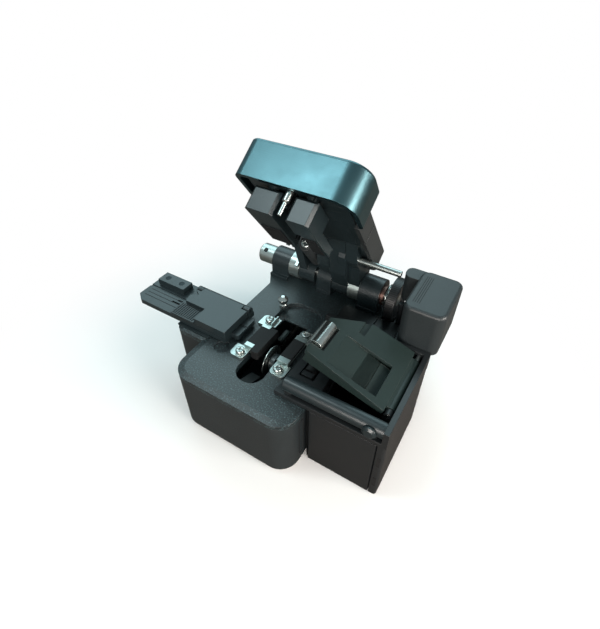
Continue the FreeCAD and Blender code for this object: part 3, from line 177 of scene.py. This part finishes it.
def makeMetal(name, look):
    # turned, brushed or plated metal: marks stretched along one axis, faint smudges
    made, tree = newMaterial(name)
    spot = addNode(tree, "ShaderNodeTexCoord").outputs["Object"]
    fine = 1 / (look["brush"] * mm)
    stretch = [fine, fine, fine]
    stretch["XYZ".index(look["along"])] = fine / wear["stretch"]
    mapped = addNode(tree, "ShaderNodeMapping", None, {"Vector": spot, "Scale": stretch})
    marks = addNode(tree, "ShaderNodeTexNoise", None,
                    {"Vector": mapped.outputs[0], "Scale": 1.0, "Detail": 2.0, "Roughness": 0.5})
    smudge = addNode(tree, "ShaderNodeTexNoise", None,
                     {"Vector": spot, "Scale": 1 / (wear["smudge"] * mm), "Detail": 3.0, "Roughness": 0.55})
    darker = [c * 0.80 for c in linear(look["tone"])[:3]] + [1.0]
    tone = addNode(tree, "ShaderNodeMix", {"data_type": "RGBA"},
                   {0: marks.outputs[0], 6: darker, 7: linear(look["tone"])})
    spread = addNode(tree, "ShaderNodeMath", {"operation": "MULTIPLY_ADD"},
                     {0: smudge.outputs[0], 1: 0.16, 2: look["rough"] - 0.08})
    rough = addNode(tree, "ShaderNodeMath", {"operation": "MULTIPLY_ADD"},
                    {0: marks.outputs[0], 1: 0.12, 2: spread.outputs[0]})
    soft = addNode(tree, "ShaderNodeBevel", {"samples": 4}, {"Radius": wear["edge"] * mm})
    bump = addNode(tree, "ShaderNodeBump", None,
                   {"Strength": 0.5, "Distance": look["relief"] * mm, "Height": marks.outputs[0],
                    "Normal": soft.outputs[0]})
    shader = addNode(tree, "ShaderNodeBsdfPrincipled", None, {
        "Base Color": tone.outputs[2], "Roughness": rough.outputs[0], "Metallic": 1.0,
        "Normal": bump.outputs[0]})
    addNode(tree, "ShaderNodeOutputMaterial", None, {"Surface": shader.outputs[0]})
    return made


materials = {name: makeCoated(name, look) for name, look in coated.items()}
materials.update({name: makeMetal(name, look) for name, look in metals.items()})

slotOf = {part["node"]: part["material_slot"] for part in frame["record"]["subparts"]}
for name, obj in nodes.items():
    obj.data.materials.clear()
    obj.data.materials.append(materials[slotOf[name]])
print("stage: materials made")


# mesh helpers

def fromBmesh(name, mesh, material):
    data = bpy.data.meshes.new(name)
    bmesh.ops.recalc_face_normals(mesh, faces=mesh.faces)
    mesh.to_mesh(data)
    mesh.free()
    made = bpy.data.objects.new(name, data)
    bpy.context.scene.collection.objects.link(made)
    data.materials.append(material)
    return made


sharpFrom = math.radians(32)  # edges sharper than this stay sharp on a turned piece


def lathe(name, profile, material, steps):
    # turn (radius, height) points about Z into a closed round piece; the ends lie on the axis
    mesh = bmesh.new()
    rings = []
    for radius, height in profile:
        if radius < 1e-9:
            rings.append([mesh.verts.new((0, 0, height))])
        else:
            rings.append([mesh.verts.new((radius * math.cos(2 * math.pi * i / steps),
                                          radius * math.sin(2 * math.pi * i / steps), height))
                          for i in range(steps)])
    for low, high in zip(rings, rings[1:]):
        for i in range(steps):
            j = (i + 1) % steps
            corners = [low[0]] if len(low) == 1 else [low[i], low[j]]
            corners += [high[0]] if len(high) == 1 else [high[j], high[i]]
            mesh.faces.new(corners)
    made = fromBmesh(name, mesh, material)
    made.data.shade_smooth()
    made.data.set_sharp_from_angle(angle=sharpFrom)
    return made


def block(name, low, high, material, bevel=0.0):
    # a box between two corners, edges rounded by bevel
    mesh = bmesh.new()
    bmesh.ops.create_cube(mesh, size=1.0)
    size = Vector(high) - Vector(low)
    middle = (Vector(high) + Vector(low)) / 2
    spread = Matrix.Translation(middle) @ Matrix.Diagonal((*size, 1))
    bmesh.ops.transform(mesh, matrix=spread, verts=mesh.verts)
    if bevel:
        bmesh.ops.bevel(mesh, geom=mesh.edges[:], offset=bevel, segments=2, affect="EDGES")
    return fromBmesh(name, mesh, material)


def ribbon(name, path, width, thick, material):
    # a closed flat band that follows a closed path in the YZ plane, thick along X
    mesh = bmesh.new()
    count = len(path)
    rings = []
    for i, point in enumerate(path):
        tangent = (Vector(path[(i + 1) % count]) - Vector(path[i - 1])).normalized()
        side = Vector((0, -tangent.z, tangent.y)) * width / 2
        lift = Vector((thick, 0, 0))
        spot = Vector(path[i])
        rings.append([mesh.verts.new(spot + offset) for offset in (-side, side, side + lift, lift - side)])
    for i in range(count):
        here, there = rings[i], rings[(i + 1) % count]
        for k in range(4):
            mesh.faces.new((here[k], there[k], there[(k + 1) % 4], here[(k + 1) % 4]))
    return fromBmesh(name, mesh, material)


def prism(name, outline, span, material, bevel=0.0):
    # an outline of (y, z) points drawn out along X
    mesh = bmesh.new()
    ends = [[mesh.verts.new((x, y, z)) for y, z in outline] for x in span]
    mesh.faces.new(ends[0])
    mesh.faces.new(ends[1])
    for i in range(len(outline)):
        j = (i + 1) % len(outline)
        mesh.faces.new((ends[0][i], ends[0][j], ends[1][j], ends[1][i]))
    if bevel:
        bmesh.ops.recalc_face_normals(mesh, faces=mesh.faces)
        bmesh.ops.bevel(mesh, geom=mesh.edges[:], offset=bevel, segments=2, affect="EDGES")
    return fromBmesh(name, mesh, material)


def hull(name, points, material):
    # the closed convex solid round some points
    mesh = bmesh.new()
    for point in points:
        mesh.verts.new(point)
    bmesh.ops.convex_hull(mesh, input=mesh.verts)
    return fromBmesh(name, mesh, material)


def place(obj, matrix):
    # bake a placement into the mesh, so the object stays at the origin
    obj.data.transform(matrix)
    obj.data.update()
    return obj


weld = 0.0001 * mm  # corners nearer than this become one


def closedCopy(name, opened):
    # a merged copy of a node's mesh, turned back from its open place
    data = nodes[name].data.copy()
    mesh = bmesh.new()
    mesh.from_mesh(data)
    bmesh.ops.remove_doubles(mesh, verts=mesh.verts, dist=weld)
    mesh.to_mesh(data)
    mesh.free()
    made = bpy.data.objects.new(name + "Form", data)
    bpy.context.scene.collection.objects.link(made)
    return place(made, opened.inverted())


def carve(obj, cutters):
    # cut other objects out of obj and drop them
    for cutter in cutters:
        step = obj.modifiers.new("cut", "BOOLEAN")
        step.operation = "DIFFERENCE"
        step.solver = "EXACT"
        step.object = cutter
    settle(obj)
    for cutter in cutters:
        bpy.data.objects.remove(cutter)
    return obj


def settle(obj):
    # turn an object's modifiers into a plain mesh
    bpy.context.view_layer.update()
    ready = obj.evaluated_get(bpy.context.evaluated_depsgraph_get())
    old = obj.data
    obj.data = bpy.data.meshes.new_from_object(ready)
    obj.data.name = obj.name
    obj.modifiers.clear()
    bpy.data.meshes.remove(old)


def socket(group, name, kind, value=None):
    made = group.interface.new_socket(name=name, in_out="INPUT", socket_type=kind)
    if value is not None:
        made.default_value = value
    return made.identifier


def spreadGroup():
    # geometry nodes that repeat a template along a row or round a ring, then make it real
    group = bpy.data.node_groups.new("repeatPiece", "GeometryNodeTree")
    group.interface.new_socket(name="Mesh", in_out="OUTPUT", socket_type="NodeSocketGeometry")
    keys = {"source": socket(group, "Source", "NodeSocketObject"),
            "count": socket(group, "Count", "NodeSocketInt", 4),
            "step": socket(group, "Step", "NodeSocketVector"),
            "turn": socket(group, "Turn per piece", "NodeSocketFloat", 0.0),
            "radius": socket(group, "Ring radius", "NodeSocketFloat", 0.0),
            "material": socket(group, "Material", "NodeSocketMaterial")}
    start = addNode(group, "NodeGroupInput")
    line = addNode(group, "GeometryNodeMeshLine", None,
                   {"Count": start.outputs["Count"], "Offset": start.outputs["Step"]})
    index = addNode(group, "GeometryNodeInputIndex")
    angle = addNode(group, "ShaderNodeMath", {"operation": "MULTIPLY"},
                    {0: index.outputs[0], 1: start.outputs["Turn per piece"]})
    turn = addNode(group, "ShaderNodeCombineXYZ", None, {"Z": angle.outputs[0]})
    cosine = addNode(group, "ShaderNodeMath", {"operation": "COSINE"}, {0: angle.outputs[0]})
    sine = addNode(group, "ShaderNodeMath", {"operation": "SINE"}, {0: angle.outputs[0]})
    across = addNode(group, "ShaderNodeMath", {"operation": "MULTIPLY"},
                     {0: cosine.outputs[0], 1: start.outputs["Ring radius"]})
    along = addNode(group, "ShaderNodeMath", {"operation": "MULTIPLY"},
                    {0: sine.outputs[0], 1: start.outputs["Ring radius"]})
    out = addNode(group, "ShaderNodeCombineXYZ", None, {"X": across.outputs[0], "Y": along.outputs[0]})
    moved = addNode(group, "GeometryNodeSetPosition", None,
                    {"Geometry": line.outputs[0], "Offset": out.outputs[0]})
    source = addNode(group, "GeometryNodeObjectInfo", None, {"Object": start.outputs["Source"]})
    copies = addNode(group, "GeometryNodeInstanceOnPoints", None,
                     {"Points": moved.outputs[0], "Instance": source.outputs["Geometry"],
                      "Rotation": turn.outputs[0]})
    real = addNode(group, "GeometryNodeRealizeInstances", None, {"Geometry": copies.outputs[0]})
    coloured = addNode(group, "GeometryNodeSetMaterial", None,
                       {"Geometry": real.outputs[0], "Material": start.outputs["Material"]})
    addNode(group, "NodeGroupOutput", None, {0: coloured.outputs[0]})
    return group, keys


repeatGroup, repeatKeys = spreadGroup()


def repeated(name, template, count, step=(0, 0, 0), turn=0.0, radius=0.0):
    # repeat a template object, which is then dropped
    holder = bpy.data.objects.new(name, bpy.data.meshes.new(name))
    bpy.context.scene.collection.objects.link(holder)
    run = holder.modifiers.new("repeat", "NODES")
    run.node_group = repeatGroup
    values = {"source": template, "count": count, "step": step, "turn": turn, "radius": radius,
              "material": template.data.materials[0]}
    for key, given in values.items():
        run[repeatKeys[key]] = given
    settle(holder)
    bpy.data.objects.remove(template)
    return holder


def add(obj, body, replaced=None):
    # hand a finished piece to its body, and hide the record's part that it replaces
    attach(obj, body)
    if replaced:
        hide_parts(replaced)


# places

armJoint = joints["arm_hinge"]
armPivot = Vector(armJoint["pos_m"])
openAngle = math.radians(armJoint["range_deg"][1])
armOpen = (Matrix.Translation(armPivot) @ Matrix.Rotation(-openAngle, 4, "X")
           @ Matrix.Translation(-armPivot))
lidJoint = joints["collector_cover_hinge"]
lidPivot = Vector(lidJoint["pos_m"])
lidRaised = math.radians(-lidJoint["range_deg"][0])
lidOpen = (Matrix.Translation(lidPivot) @ Matrix.Rotation(lidRaised, 4, "Y")
           @ Matrix.Translation(-lidPivot))
faceLeft = Matrix.Rotation(math.radians(-90), 4, "Y")
faceFront = Matrix.Rotation(math.radians(90), 4, "X")
alongX = Matrix.Rotation(math.radians(90), 4, "Y")


def at(x, y, z):
    return Matrix.Translation(Vector((x, y, z)))


# cross-head screws

# head: head radius, high: head height, shank: shank radius and length, cross: recess width and depth,
# place: middle of the first head's seat, pitch: from one screw to the next, all in mm;
# turn: how far the cross is turned, in radians
screwSizes = {
    "deck": {"head": 2.13, "high": 1.38, "shank": (0.85, 2.0), "cross": (0.52, 0.85), "turn": 0.5},
    "side": {"head": 1.68, "high": 1.18, "shank": (0.0, 0.0), "cross": (0.42, 0.7), "pitch": 5.5,
             "place": (-14.32, -8.5, 43.2)},
    "adjuster": {"head": 2.38, "high": 1.28, "shank": (0.0, 0.0), "cross": (0.55, 0.8),
                 "place": (-5.5, 23.0, 47.2)},
}


# the pan head's form, as shares of its radius and height; foot: radius at the seat, chamfer: height of its
# edge, flank: height where the dome begins, flat: radius of the dome's top, slot: half length of the cross
panHead = {"foot": 0.96, "chamfer": 0.08, "flank": 0.42, "flat": 0.62, "slot": 0.66, "rings": 7}


def crossScrew(name, size):
    steel = materials["steel"]
    head, high = inMm(size["head"], size["high"])
    shank, deep = inMm(*size["shank"])
    wide, recess = inMm(*size["cross"])
    profile = [(0, -deep), (shank, -deep), (shank, 0)] if deep else [(0, 0)]
    flat, flank = panHead["flat"], panHead["flank"]
    profile += [(head * panHead["foot"], 0), (head, high * panHead["chamfer"]), (head, high * flank)]
    for i in range(1, panHead["rings"]):
        turn = i * math.pi / 2 / panHead["rings"]
        profile.append((head * (flat + (1 - flat) * math.cos(turn)),
                        high * (flank + (1 - flank) * math.sin(turn))))
    profile.append((0, high))
    screw = lathe(name, profile, steel, 36)
    reach = head * panHead["slot"]
    cutters = []
    for along, across in ((reach, wide / 2), (wide / 2, reach)):
        low = (-along, -across, high - recess)
        cutters.append(block(name + "Cut", low, (along, across, high * 1.5), steel))
    cone = [(0, high - recess * 1.25), (wide * 0.9, high - recess * 0.2), (wide * 1.05, high * 1.4),
            (0, high * 1.4)]
    cutters.append(lathe(name + "Cone", cone, steel, 24))
    return carve(screw, cutters)


size = screwSizes["deck"]
low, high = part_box("clamp_screws")
reach = size["head"] * mm
spanX, spanY = high[0] - low[0] - 2 * reach, high[1] - low[1] - 2 * reach
screw = place(crossScrew("deckScrew", size), Matrix.Rotation(size["turn"], 4, "Z"))
screws = repeated("deckScrews", repeated("screwPair", screw, 2, (spanX, 0, 0)), 2, (0, spanY, 0))
place(screws, at(low[0] + reach, low[1] + reach, high[2] - size["high"] * mm))
add(screws, "base", "clamp_screws")

size = screwSizes["side"]
screw = place(crossScrew("sideScrew", size), faceLeft)
screws = repeated("sideScrews", screw, 2, inMm(0, size["pitch"], 0))
add(place(screws, armOpen @ at(*inMm(*size["place"]))), "clamp_left", "clamp_side_screws")

size = screwSizes["adjuster"]
screw = place(crossScrew("adjusterHead", size), faceFront)
add(place(screw, armOpen @ at(*inMm(*size["place"]))), "arm", "adjuster_screw")
print("stage: screws made")


# moulded and engraved detail on the base

# the unlit bottom of a seam or groove: nearly black and dull
dark, tree = newMaterial("shadow_gap")
shade = addNode(tree, "ShaderNodeBsdfPrincipled", None, {"Base Color": linear("#0a0b0c"), "Roughness": 0.7})
addNode(tree, "ShaderNodeOutputMaterial", None, {"Surface": shade.outputs[0]})


def roundedPath(y, z, radius, steps=6):
    # a rounded rectangle in the YZ plane between y = (low, high) and z = (low, high)
    corners = [(y[1] - radius, z[0] + radius, -90), (y[1] - radius, z[1] - radius, 0),
               (y[0] + radius, z[1] - radius, 90), (y[0] + radius, z[0] + radius, 180)]
    path = []
    for cy, cz, begin in corners:
        for i in range(steps + 1):
            turn = math.radians(begin + 90 * i / steps)
            path.append((0, cy + radius * math.cos(turn), cz + radius * math.sin(turn)))
    return path


# the seam of the panel in the nose's right side, drawn as a thin band of painted shade; side: where that side
# stands in x
panelSeam = {"side": 29.2, "y": (-25.6, -22.3), "z": (7.5, 30.5), "corner": 1.5, "wide": 0.45, "high": 0.06}
line = roundedPath(inMm(*panelSeam["y"]), inMm(*panelSeam["z"]), panelSeam["corner"] * mm)
seam = ribbon("nosePanelSeam", line, panelSeam["wide"] * mm, panelSeam["high"] * mm, dark)
add(place(seam, at(panelSeam["side"] * mm, 0, 0)), "base")

# the grip lines on top of the drive housing, drawn as thin strips of painted shade
driveLines = {"count": 4, "wide": 0.28, "pitch": 0.9, "high": 0.05, "sunk": 0.03, "left": 50.6, "end": 4.5}
low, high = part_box("drive_housing")
wide, thick, sunk, left, end = inMm(*(driveLines[key] for key in ("wide", "high", "sunk", "left", "end")))
rib = block("driveRib", (0, 0, 0), (wide, high[1] - low[1] - 2 * end, thick), dark)
ribs = repeated("driveRibs", rib, driveLines["count"], inMm(driveLines["pitch"], 0, 0))
add(place(ribs, at(left, low[1] + end, high[2] - sunk)), "base")

# two dark slots at the collector case's front right corner, drawn as thin blocks of painted shade
cornerSlot = {"low": (0, -0.06, 0), "high": (1.5, 0.4, 6.5), "pitch": 15, "fromRight": 2.5, "foot": 7.5}
low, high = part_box("collector_case")
slotPiece = block("cornerSlot", inMm(*cornerSlot["low"]), inMm(*cornerSlot["high"]), dark)
slots = repeated("cornerSlots", slotPiece, 2, inMm(0, 0, cornerSlot["pitch"]))
add(place(slots, at(high[0] - cornerSlot["fromRight"] * mm, low[1], cornerSlot["foot"] * mm)), "base")

# a rounded guard plate low in the slot
slotGuard = {"low": (-3.6, 7.5, 30.6), "high": (-0.9, 15.6, 31.8), "round": 0.5}
guard = block("slotGuard", inMm(*slotGuard["low"]), inMm(*slotGuard["high"]), materials["olive_plastic"],
              slotGuard["round"] * mm)
add(guard, "base")

# the slanted chip guard at the slot's front end; half: half of its length, width and thickness
chipGuard = {"half": (2.6, 4.6, 0.4), "place": (-0.4, -18.2, 31.2), "tilt": -22, "round": 0.15}
half = inMm(*chipGuard["half"])
lean = block("chipGuard", [-v for v in half], half, materials["grey_case"], chipGuard["round"] * mm)
tilt = Matrix.Rotation(math.radians(chipGuard["tilt"]), 4, "X")
add(place(lean, at(*inMm(*chipGuard["place"])) @ tilt), "base")

# fine grip lines round the drum's rim, drawn as dark strips of painted shade
drumGrip = {"count": 72, "sunk": 0.25, "half": 0.16, "long": 3.6, "proud": 0.01, "fromRight": 4.0}
low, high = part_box("drive_drum")
rimRadius = (high[2] - low[2]) / 2
sunk, half, long = inMm(drumGrip["sunk"], drumGrip["half"], drumGrip["long"])
tooth = block("drumTooth", (-sunk, -half, 0), (0.0, half, long), dark)
teeth = repeated("drumTeeth", tooth, drumGrip["count"], turn=2 * math.pi / drumGrip["count"],
                 radius=rimRadius + drumGrip["proud"] * mm)
rim = at(high[0] - drumGrip["fromRight"] * mm, armPivot.y, armPivot.z)
add(place(teeth, rim @ alongX), "arm")

# hexagon socket of the knob's set screw, drawn as a thin disc of painted shade; out: from the screw's middle
# to the socket
hexSocket = {"radius": 0.62, "thick": 0.04, "out": 0.72}
low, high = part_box("knob_set_screw")
middle = (Vector(low) + Vector(high)) / 2
radius, thick, out = inMm(*(hexSocket[key] for key in ("radius", "thick", "out")))
hexagon = lathe("setScrewSocket", [(0, 0), (radius, 0), (radius, thick), (0, thick)], dark, 6)
direction = (middle - Vector((middle.x, armPivot.y, armPivot.z))).normalized()
turnTo = Vector((0, 0, 1)).rotation_difference(direction).to_matrix().to_4x4()
add(place(hexagon, Matrix.Translation(middle + direction * out) @ turnTo), "arm")
print("stage: base detail made")


# arm detail, drawn closed and turned open

# the neck that carries the frame plate down to the barrels, and the bridge to its left;
# outline: (y, z) points, span: left and right side, in mm
armJoins = {
    "armNeck": {"span": (5.4, 14.4), "outline": [(17.5, 52.4), (36.0, 42.0), (45.6, 39.6), (51.0, 39.0),
                                                 (50.5, 47.5), (44.0, 49.5), (40.5, 52.4)]},
    "armBridge": {"span": (-1.6, 5.5), "outline": [(18.5, 52.4), (34.5, 43.2), (42.4, 42.4), (43.0, 46.6),
                                                   (45.4, 49.8), (43.0, 52.4)]},
}
joinEdge = 0.3 * mm
for name, join in armJoins.items():
    outline = [inMm(*point) for point in join["outline"]]
    made = prism(name, outline, inMm(*join["span"]), materials["black_anodised"], joinEdge)
    add(place(made, armOpen), "arm")

# the right clamp block and its pad stand back at the rear, which shows the adjuster beside them;
# left: where each begins there, front: where that starts
clampRelief = {"left": {"upper_clamp_right": 6.7, "upper_pad_right": 7.4}, "front": -9.0, "back": 20.0,
               "z": (30.0, 50.5)}
for name, left in clampRelief["left"].items():
    bottom, top = clampRelief["z"]
    relief = block("relief", inMm(0.0, clampRelief["front"], bottom), inMm(left, clampRelief["back"], top),
                   dark)
    add(place(carve(closedCopy(name, armOpen), [relief]), armOpen), "clamp_right", name)

# the arm's right leg rises from the hinge to the plate in one straight slope
legSlope = {"span": (14.0, 20.8), "cut": [(-6.0, 30.0), (36.4, 30.0), (36.4, 41.6), (17.5, 52.25),
                                          (-6.0, 52.25)]}
slope = prism("slope", [inMm(*point) for point in legSlope["cut"]], inMm(*legSlope["span"]), dark)
add(place(carve(closedCopy("arm_frame", armOpen), [slope]), armOpen), "arm", "arm_frame")

# the trip bracket: a small forked steel angle; gap: what is cut out between its prongs
tripFork = {"low": (-7.6, 8.9, 40.1), "high": (-3.6, 9.9, 52.2), "round": 0.1,
            "gapLow": (-6.0, 8.0, 39.0), "gapHigh": (-4.6, 11.0, 42.6)}
fork = block("tripBracket", inMm(*tripFork["low"]), inMm(*tripFork["high"]), materials["steel"],
             tripFork["round"] * mm)
gap = block("tripGap", inMm(*tripFork["gapLow"]), inMm(*tripFork["gapHigh"]), dark)
add(place(carve(fork, [gap]), armOpen), "arm", "trip_bracket")

# the collector lid, drawn closed: skirt along its front edge, and a scoop that deepens to the right
# scoop: (x, z) outline; pan: the shell under the scoop, cut off below panUnder, the line (x, z) of its floor;
# skirt: (x, depth) at either end, below skirtTop; lean: how its foot line falls back in y along x
lidDetail = {"scoop": [(30.0, 44.95), (52.5, 41.9), (52.5, 46.5), (30.0, 46.5)], "scoopY": (-10.0, 7.0),
             "notchLow": (33.6, 12.0, 43.6), "notchHigh": (36.4, 21.0, 46.0),
             "panLow": (29.0, -10.8, 41.0), "panHigh": (53.3, 7.8, 43.4),
             "panUnder": [(28.0, 44.3), (54.0, 40.9), (28.0, 40.0), (54.0, 40.0)], "underY": (-12.0, 9.0),
             "skirt": ((21.4, 4.2), (56.4, 0.5)), "skirtTop": 42.7, "skirtY": (-11.0, 20.5), "lean": 0.062,
             "skirtWall": (0.06, 1.6)}
olive = materials["olive_plastic"]


def across(outline, sides):
    # the points of an (x, z) outline at both sides in y
    return [inMm(x, y, z) for x, z in outline for y in sides]


def scoopCutter():
    return hull("scoop", across(lidDetail["scoop"], lidDetail["scoopY"]), dark)


notch = block("lidNotch", inMm(*lidDetail["notchLow"]), inMm(*lidDetail["notchHigh"]), dark)
lid = carve(closedCopy("collector_lid", lidOpen), [scoopCutter(), notch])
add(place(lid, lidOpen), "collector_cover", "collector_lid")

pan = block("lidPan", inMm(*lidDetail["panLow"]), inMm(*lidDetail["panHigh"]), olive)
under = hull("panUnder", across(lidDetail["panUnder"], lidDetail["underY"]), dark)
add(place(carve(pan, [scoopCutter(), under]), lidOpen), "collector_cover")

startY, startX = lidDetail["skirtY"]
top = lidDetail["skirtTop"]
skirtPoints = [inMm(x, startY - (x - startX) * lidDetail["lean"] + dy, z) for x, deep in lidDetail["skirt"]
               for dy in lidDetail["skirtWall"] for z in (top, top - deep)]
add(place(hull("lidSkirt", skirtPoints, olive), lidOpen), "collector_cover")
print("stage: arm and lid detail made")


# holder detail

# ridges along the lid's tab
tabGrip = {"count": 11, "size": (0.55, 7.6, 0.35), "pitch": 1.18, "round": 0.12, "inset": (0.6, 0.5),
           "seat": 42.15}
low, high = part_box("holder_lid")
ridge = block("tabRidge", (0, 0, 0), inMm(*tabGrip["size"]), materials["black_anodised"],
              tabGrip["round"] * mm)
ridges = repeated("tabRidges", ridge, tabGrip["count"], inMm(tabGrip["pitch"], 0, 0))
insetX, insetY = inMm(*tabGrip["inset"])
place(ridges, at(low[0] + insetX, low[1] + insetY, tabGrip["seat"] * mm))
add(ridges, "holder_cover")

# fine grooves along the holder, drawn as dark strips of painted shade
holderLines = {"count": 3, "size": (24, 0.35, 0.06), "pitch": 2.3, "inset": (2.6, 4.0), "seat": 39.77}
low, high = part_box("fibre_holder")
groove = block("holderGroove", (0, 0, 0), inMm(*holderLines["size"]), dark)
grooves = repeated("holderGrooves", groove, holderLines["count"], inMm(0, holderLines["pitch"], 0))
insetX, insetY = inMm(*holderLines["inset"])
place(grooves, at(low[0] + insetX, low[1] + insetY, holderLines["seat"] * mm))
add(grooves, "holder")

# two magnets in the holder's raised block
magnetSize = {"radius": 1.5, "face": 1.3, "side": 0.05, "thick": 0.07, "pitch": 9,
              "place": (-69.0, 5.9, 42.98)}
radius, face, side, thick = inMm(*(magnetSize[key] for key in ("radius", "face", "side", "thick")))
magnet = lathe("holderMagnet", [(0, 0), (radius, 0), (radius, side), (face, thick), (0, thick)],
               materials["dark_steel"], 28)
magnets = repeated("holderMagnets", magnet, 2, inMm(magnetSize["pitch"], 0, 0))
add(place(magnets, at(*inMm(*magnetSize["place"]))), "holder")
print("stage: holder detail made")


# stage, light and camera

# floor: the pale table as seen; bounce: what it throws back on the object; fade: where it turns white, in mm;
# sky and skyPower: what the world throws on the object; seen: the backdrop; reach: half the table's width,
# thick: its thickness, drop: how far it lies below the foot, in m
studio = {"floor": "#eeedec", "bounce": "#6a625c", "fade": (75, 170), "sky": "#cfe2e6", "skyPower": 0.42,
          "seen": "#ffffff", "reach": 5, "thick": 0.01, "drop": 0.00005}

floor, tree = newMaterial("studio_floor")
rays = addNode(tree, "ShaderNodeLightPath")
spot = addNode(tree, "ShaderNodeTexCoord").outputs["Object"]
reach = addNode(tree, "ShaderNodeVectorMath", {"operation": "LENGTH"}, {0: spot})
near, far = inMm(*studio["fade"])
fade = addNode(tree, "ShaderNodeMapRange", {"interpolation_type": "SMOOTHSTEP"},
               {"Value": reach.outputs["Value"], "From Min": near, "From Max": far})
pale = addNode(tree, "ShaderNodeBsdfDiffuse", None, {"Color": linear(studio["floor"])})
dim = addNode(tree, "ShaderNodeBsdfDiffuse", None, {"Color": linear(studio["bounce"])})
white = addNode(tree, "ShaderNodeEmission", None, {"Color": linear(studio["seen"]), "Strength": 1.0})
shown = addNode(tree, "ShaderNodeMixShader", None,
                {0: fade.outputs[0], 1: pale.outputs[0], 2: white.outputs[0]})
choice = addNode(tree, "ShaderNodeMixShader", None,
                 {0: rays.outputs["Is Camera Ray"], 1: dim.outputs[0], 2: shown.outputs[0]})
addNode(tree, "ShaderNodeOutputMaterial", None, {"Surface": choice.outputs[0]})
wide = studio["reach"]
block("studioFloor", (-wide, -wide, -studio["thick"]), (wide, wide, -studio["drop"]), floor)

world = bpy.data.worlds.new("studio")
bpy.context.scene.world = world
world.use_nodes = True
tree = world.node_tree
tree.nodes.clear()
rays = addNode(tree, "ShaderNodeLightPath")
glow = addNode(tree, "ShaderNodeBackground", None,
               {"Color": linear(studio["sky"]), "Strength": studio["skyPower"]})
seen = addNode(tree, "ShaderNodeBackground", None, {"Color": linear(studio["seen"]), "Strength": 1.0})
choice = addNode(tree, "ShaderNodeMixShader", None,
                 {0: rays.outputs["Is Camera Ray"], 1: glow.outputs[0], 2: seen.outputs[0]})
addNode(tree, "ShaderNodeOutputWorld", None, {"Surface": choice.outputs[0]})

# place, target and size in metres, power in watts
lamps = {
    "topBox": {"place": (-0.38, 0.62, 0.80), "target": (0.0, 0.01, 0.04), "size": (1.1, 0.7), "power": 6.6,
               "tone": "#c0e0e6"},
    "keyBox": {"place": (-0.35, -0.20, 0.86), "target": (0.0, 0.0, 0.08), "size": (0.24, 0.28), "power": 2.0,
               "tone": "#dceff2"},
    "frontBox": {"place": (0.25, -0.85, 0.30), "target": (0.0, 0.01, 0.04), "size": (0.7, 0.35), "power": 9.0,
                 "tone": "#fff5ee"},
    "sideBox": {"place": (0.75, -0.05, 0.28), "target": (0.0, 0.01, 0.04), "size": (0.5, 0.35), "power": 9.0,
                "tone": "#fbf3ec"},
}


def softbox(name, lamp):
    data = bpy.data.lights.new(name, "AREA")
    data.shape = "RECTANGLE"
    data.size, data.size_y = lamp["size"]
    data.energy = lamp["power"]
    data.color = linear(lamp["tone"])[:3]
    made = bpy.data.objects.new(name, data)
    bpy.context.scene.collection.objects.link(made)
    made.location = lamp["place"]
    toTarget = Vector(lamp["target"]) - Vector(lamp["place"])
    made.rotation_euler = toTarget.to_track_quat("-Z", "Y").to_euler()


for name, lamp in lamps.items():
    softbox(name, lamp)

# place in metres, turn in degrees, lens and sensor in mm
view = {"place": (0.07984, -0.10692, 0.17865), "turn": (48.8785, -0.5530, 30.8324), "lens": 24.346,
        "sensor": 36, "shift": (-0.0112, -0.0204), "near": 0.01}
camera = bpy.data.cameras.new("camera")
camera.sensor_width = view["sensor"]
camera.lens = view["lens"]
camera.shift_x, camera.shift_y = view["shift"]
camera.clip_start = view["near"]
eye = bpy.data.objects.new("camera", camera)
eye.location = view["place"]
eye.rotation_euler = [math.radians(angle) for angle in view["turn"]]
bpy.context.scene.collection.objects.link(eye)
bpy.context.scene.camera = eye
bpy.context.scene.view_settings.view_transform = "Standard"
print("stage: studio made")
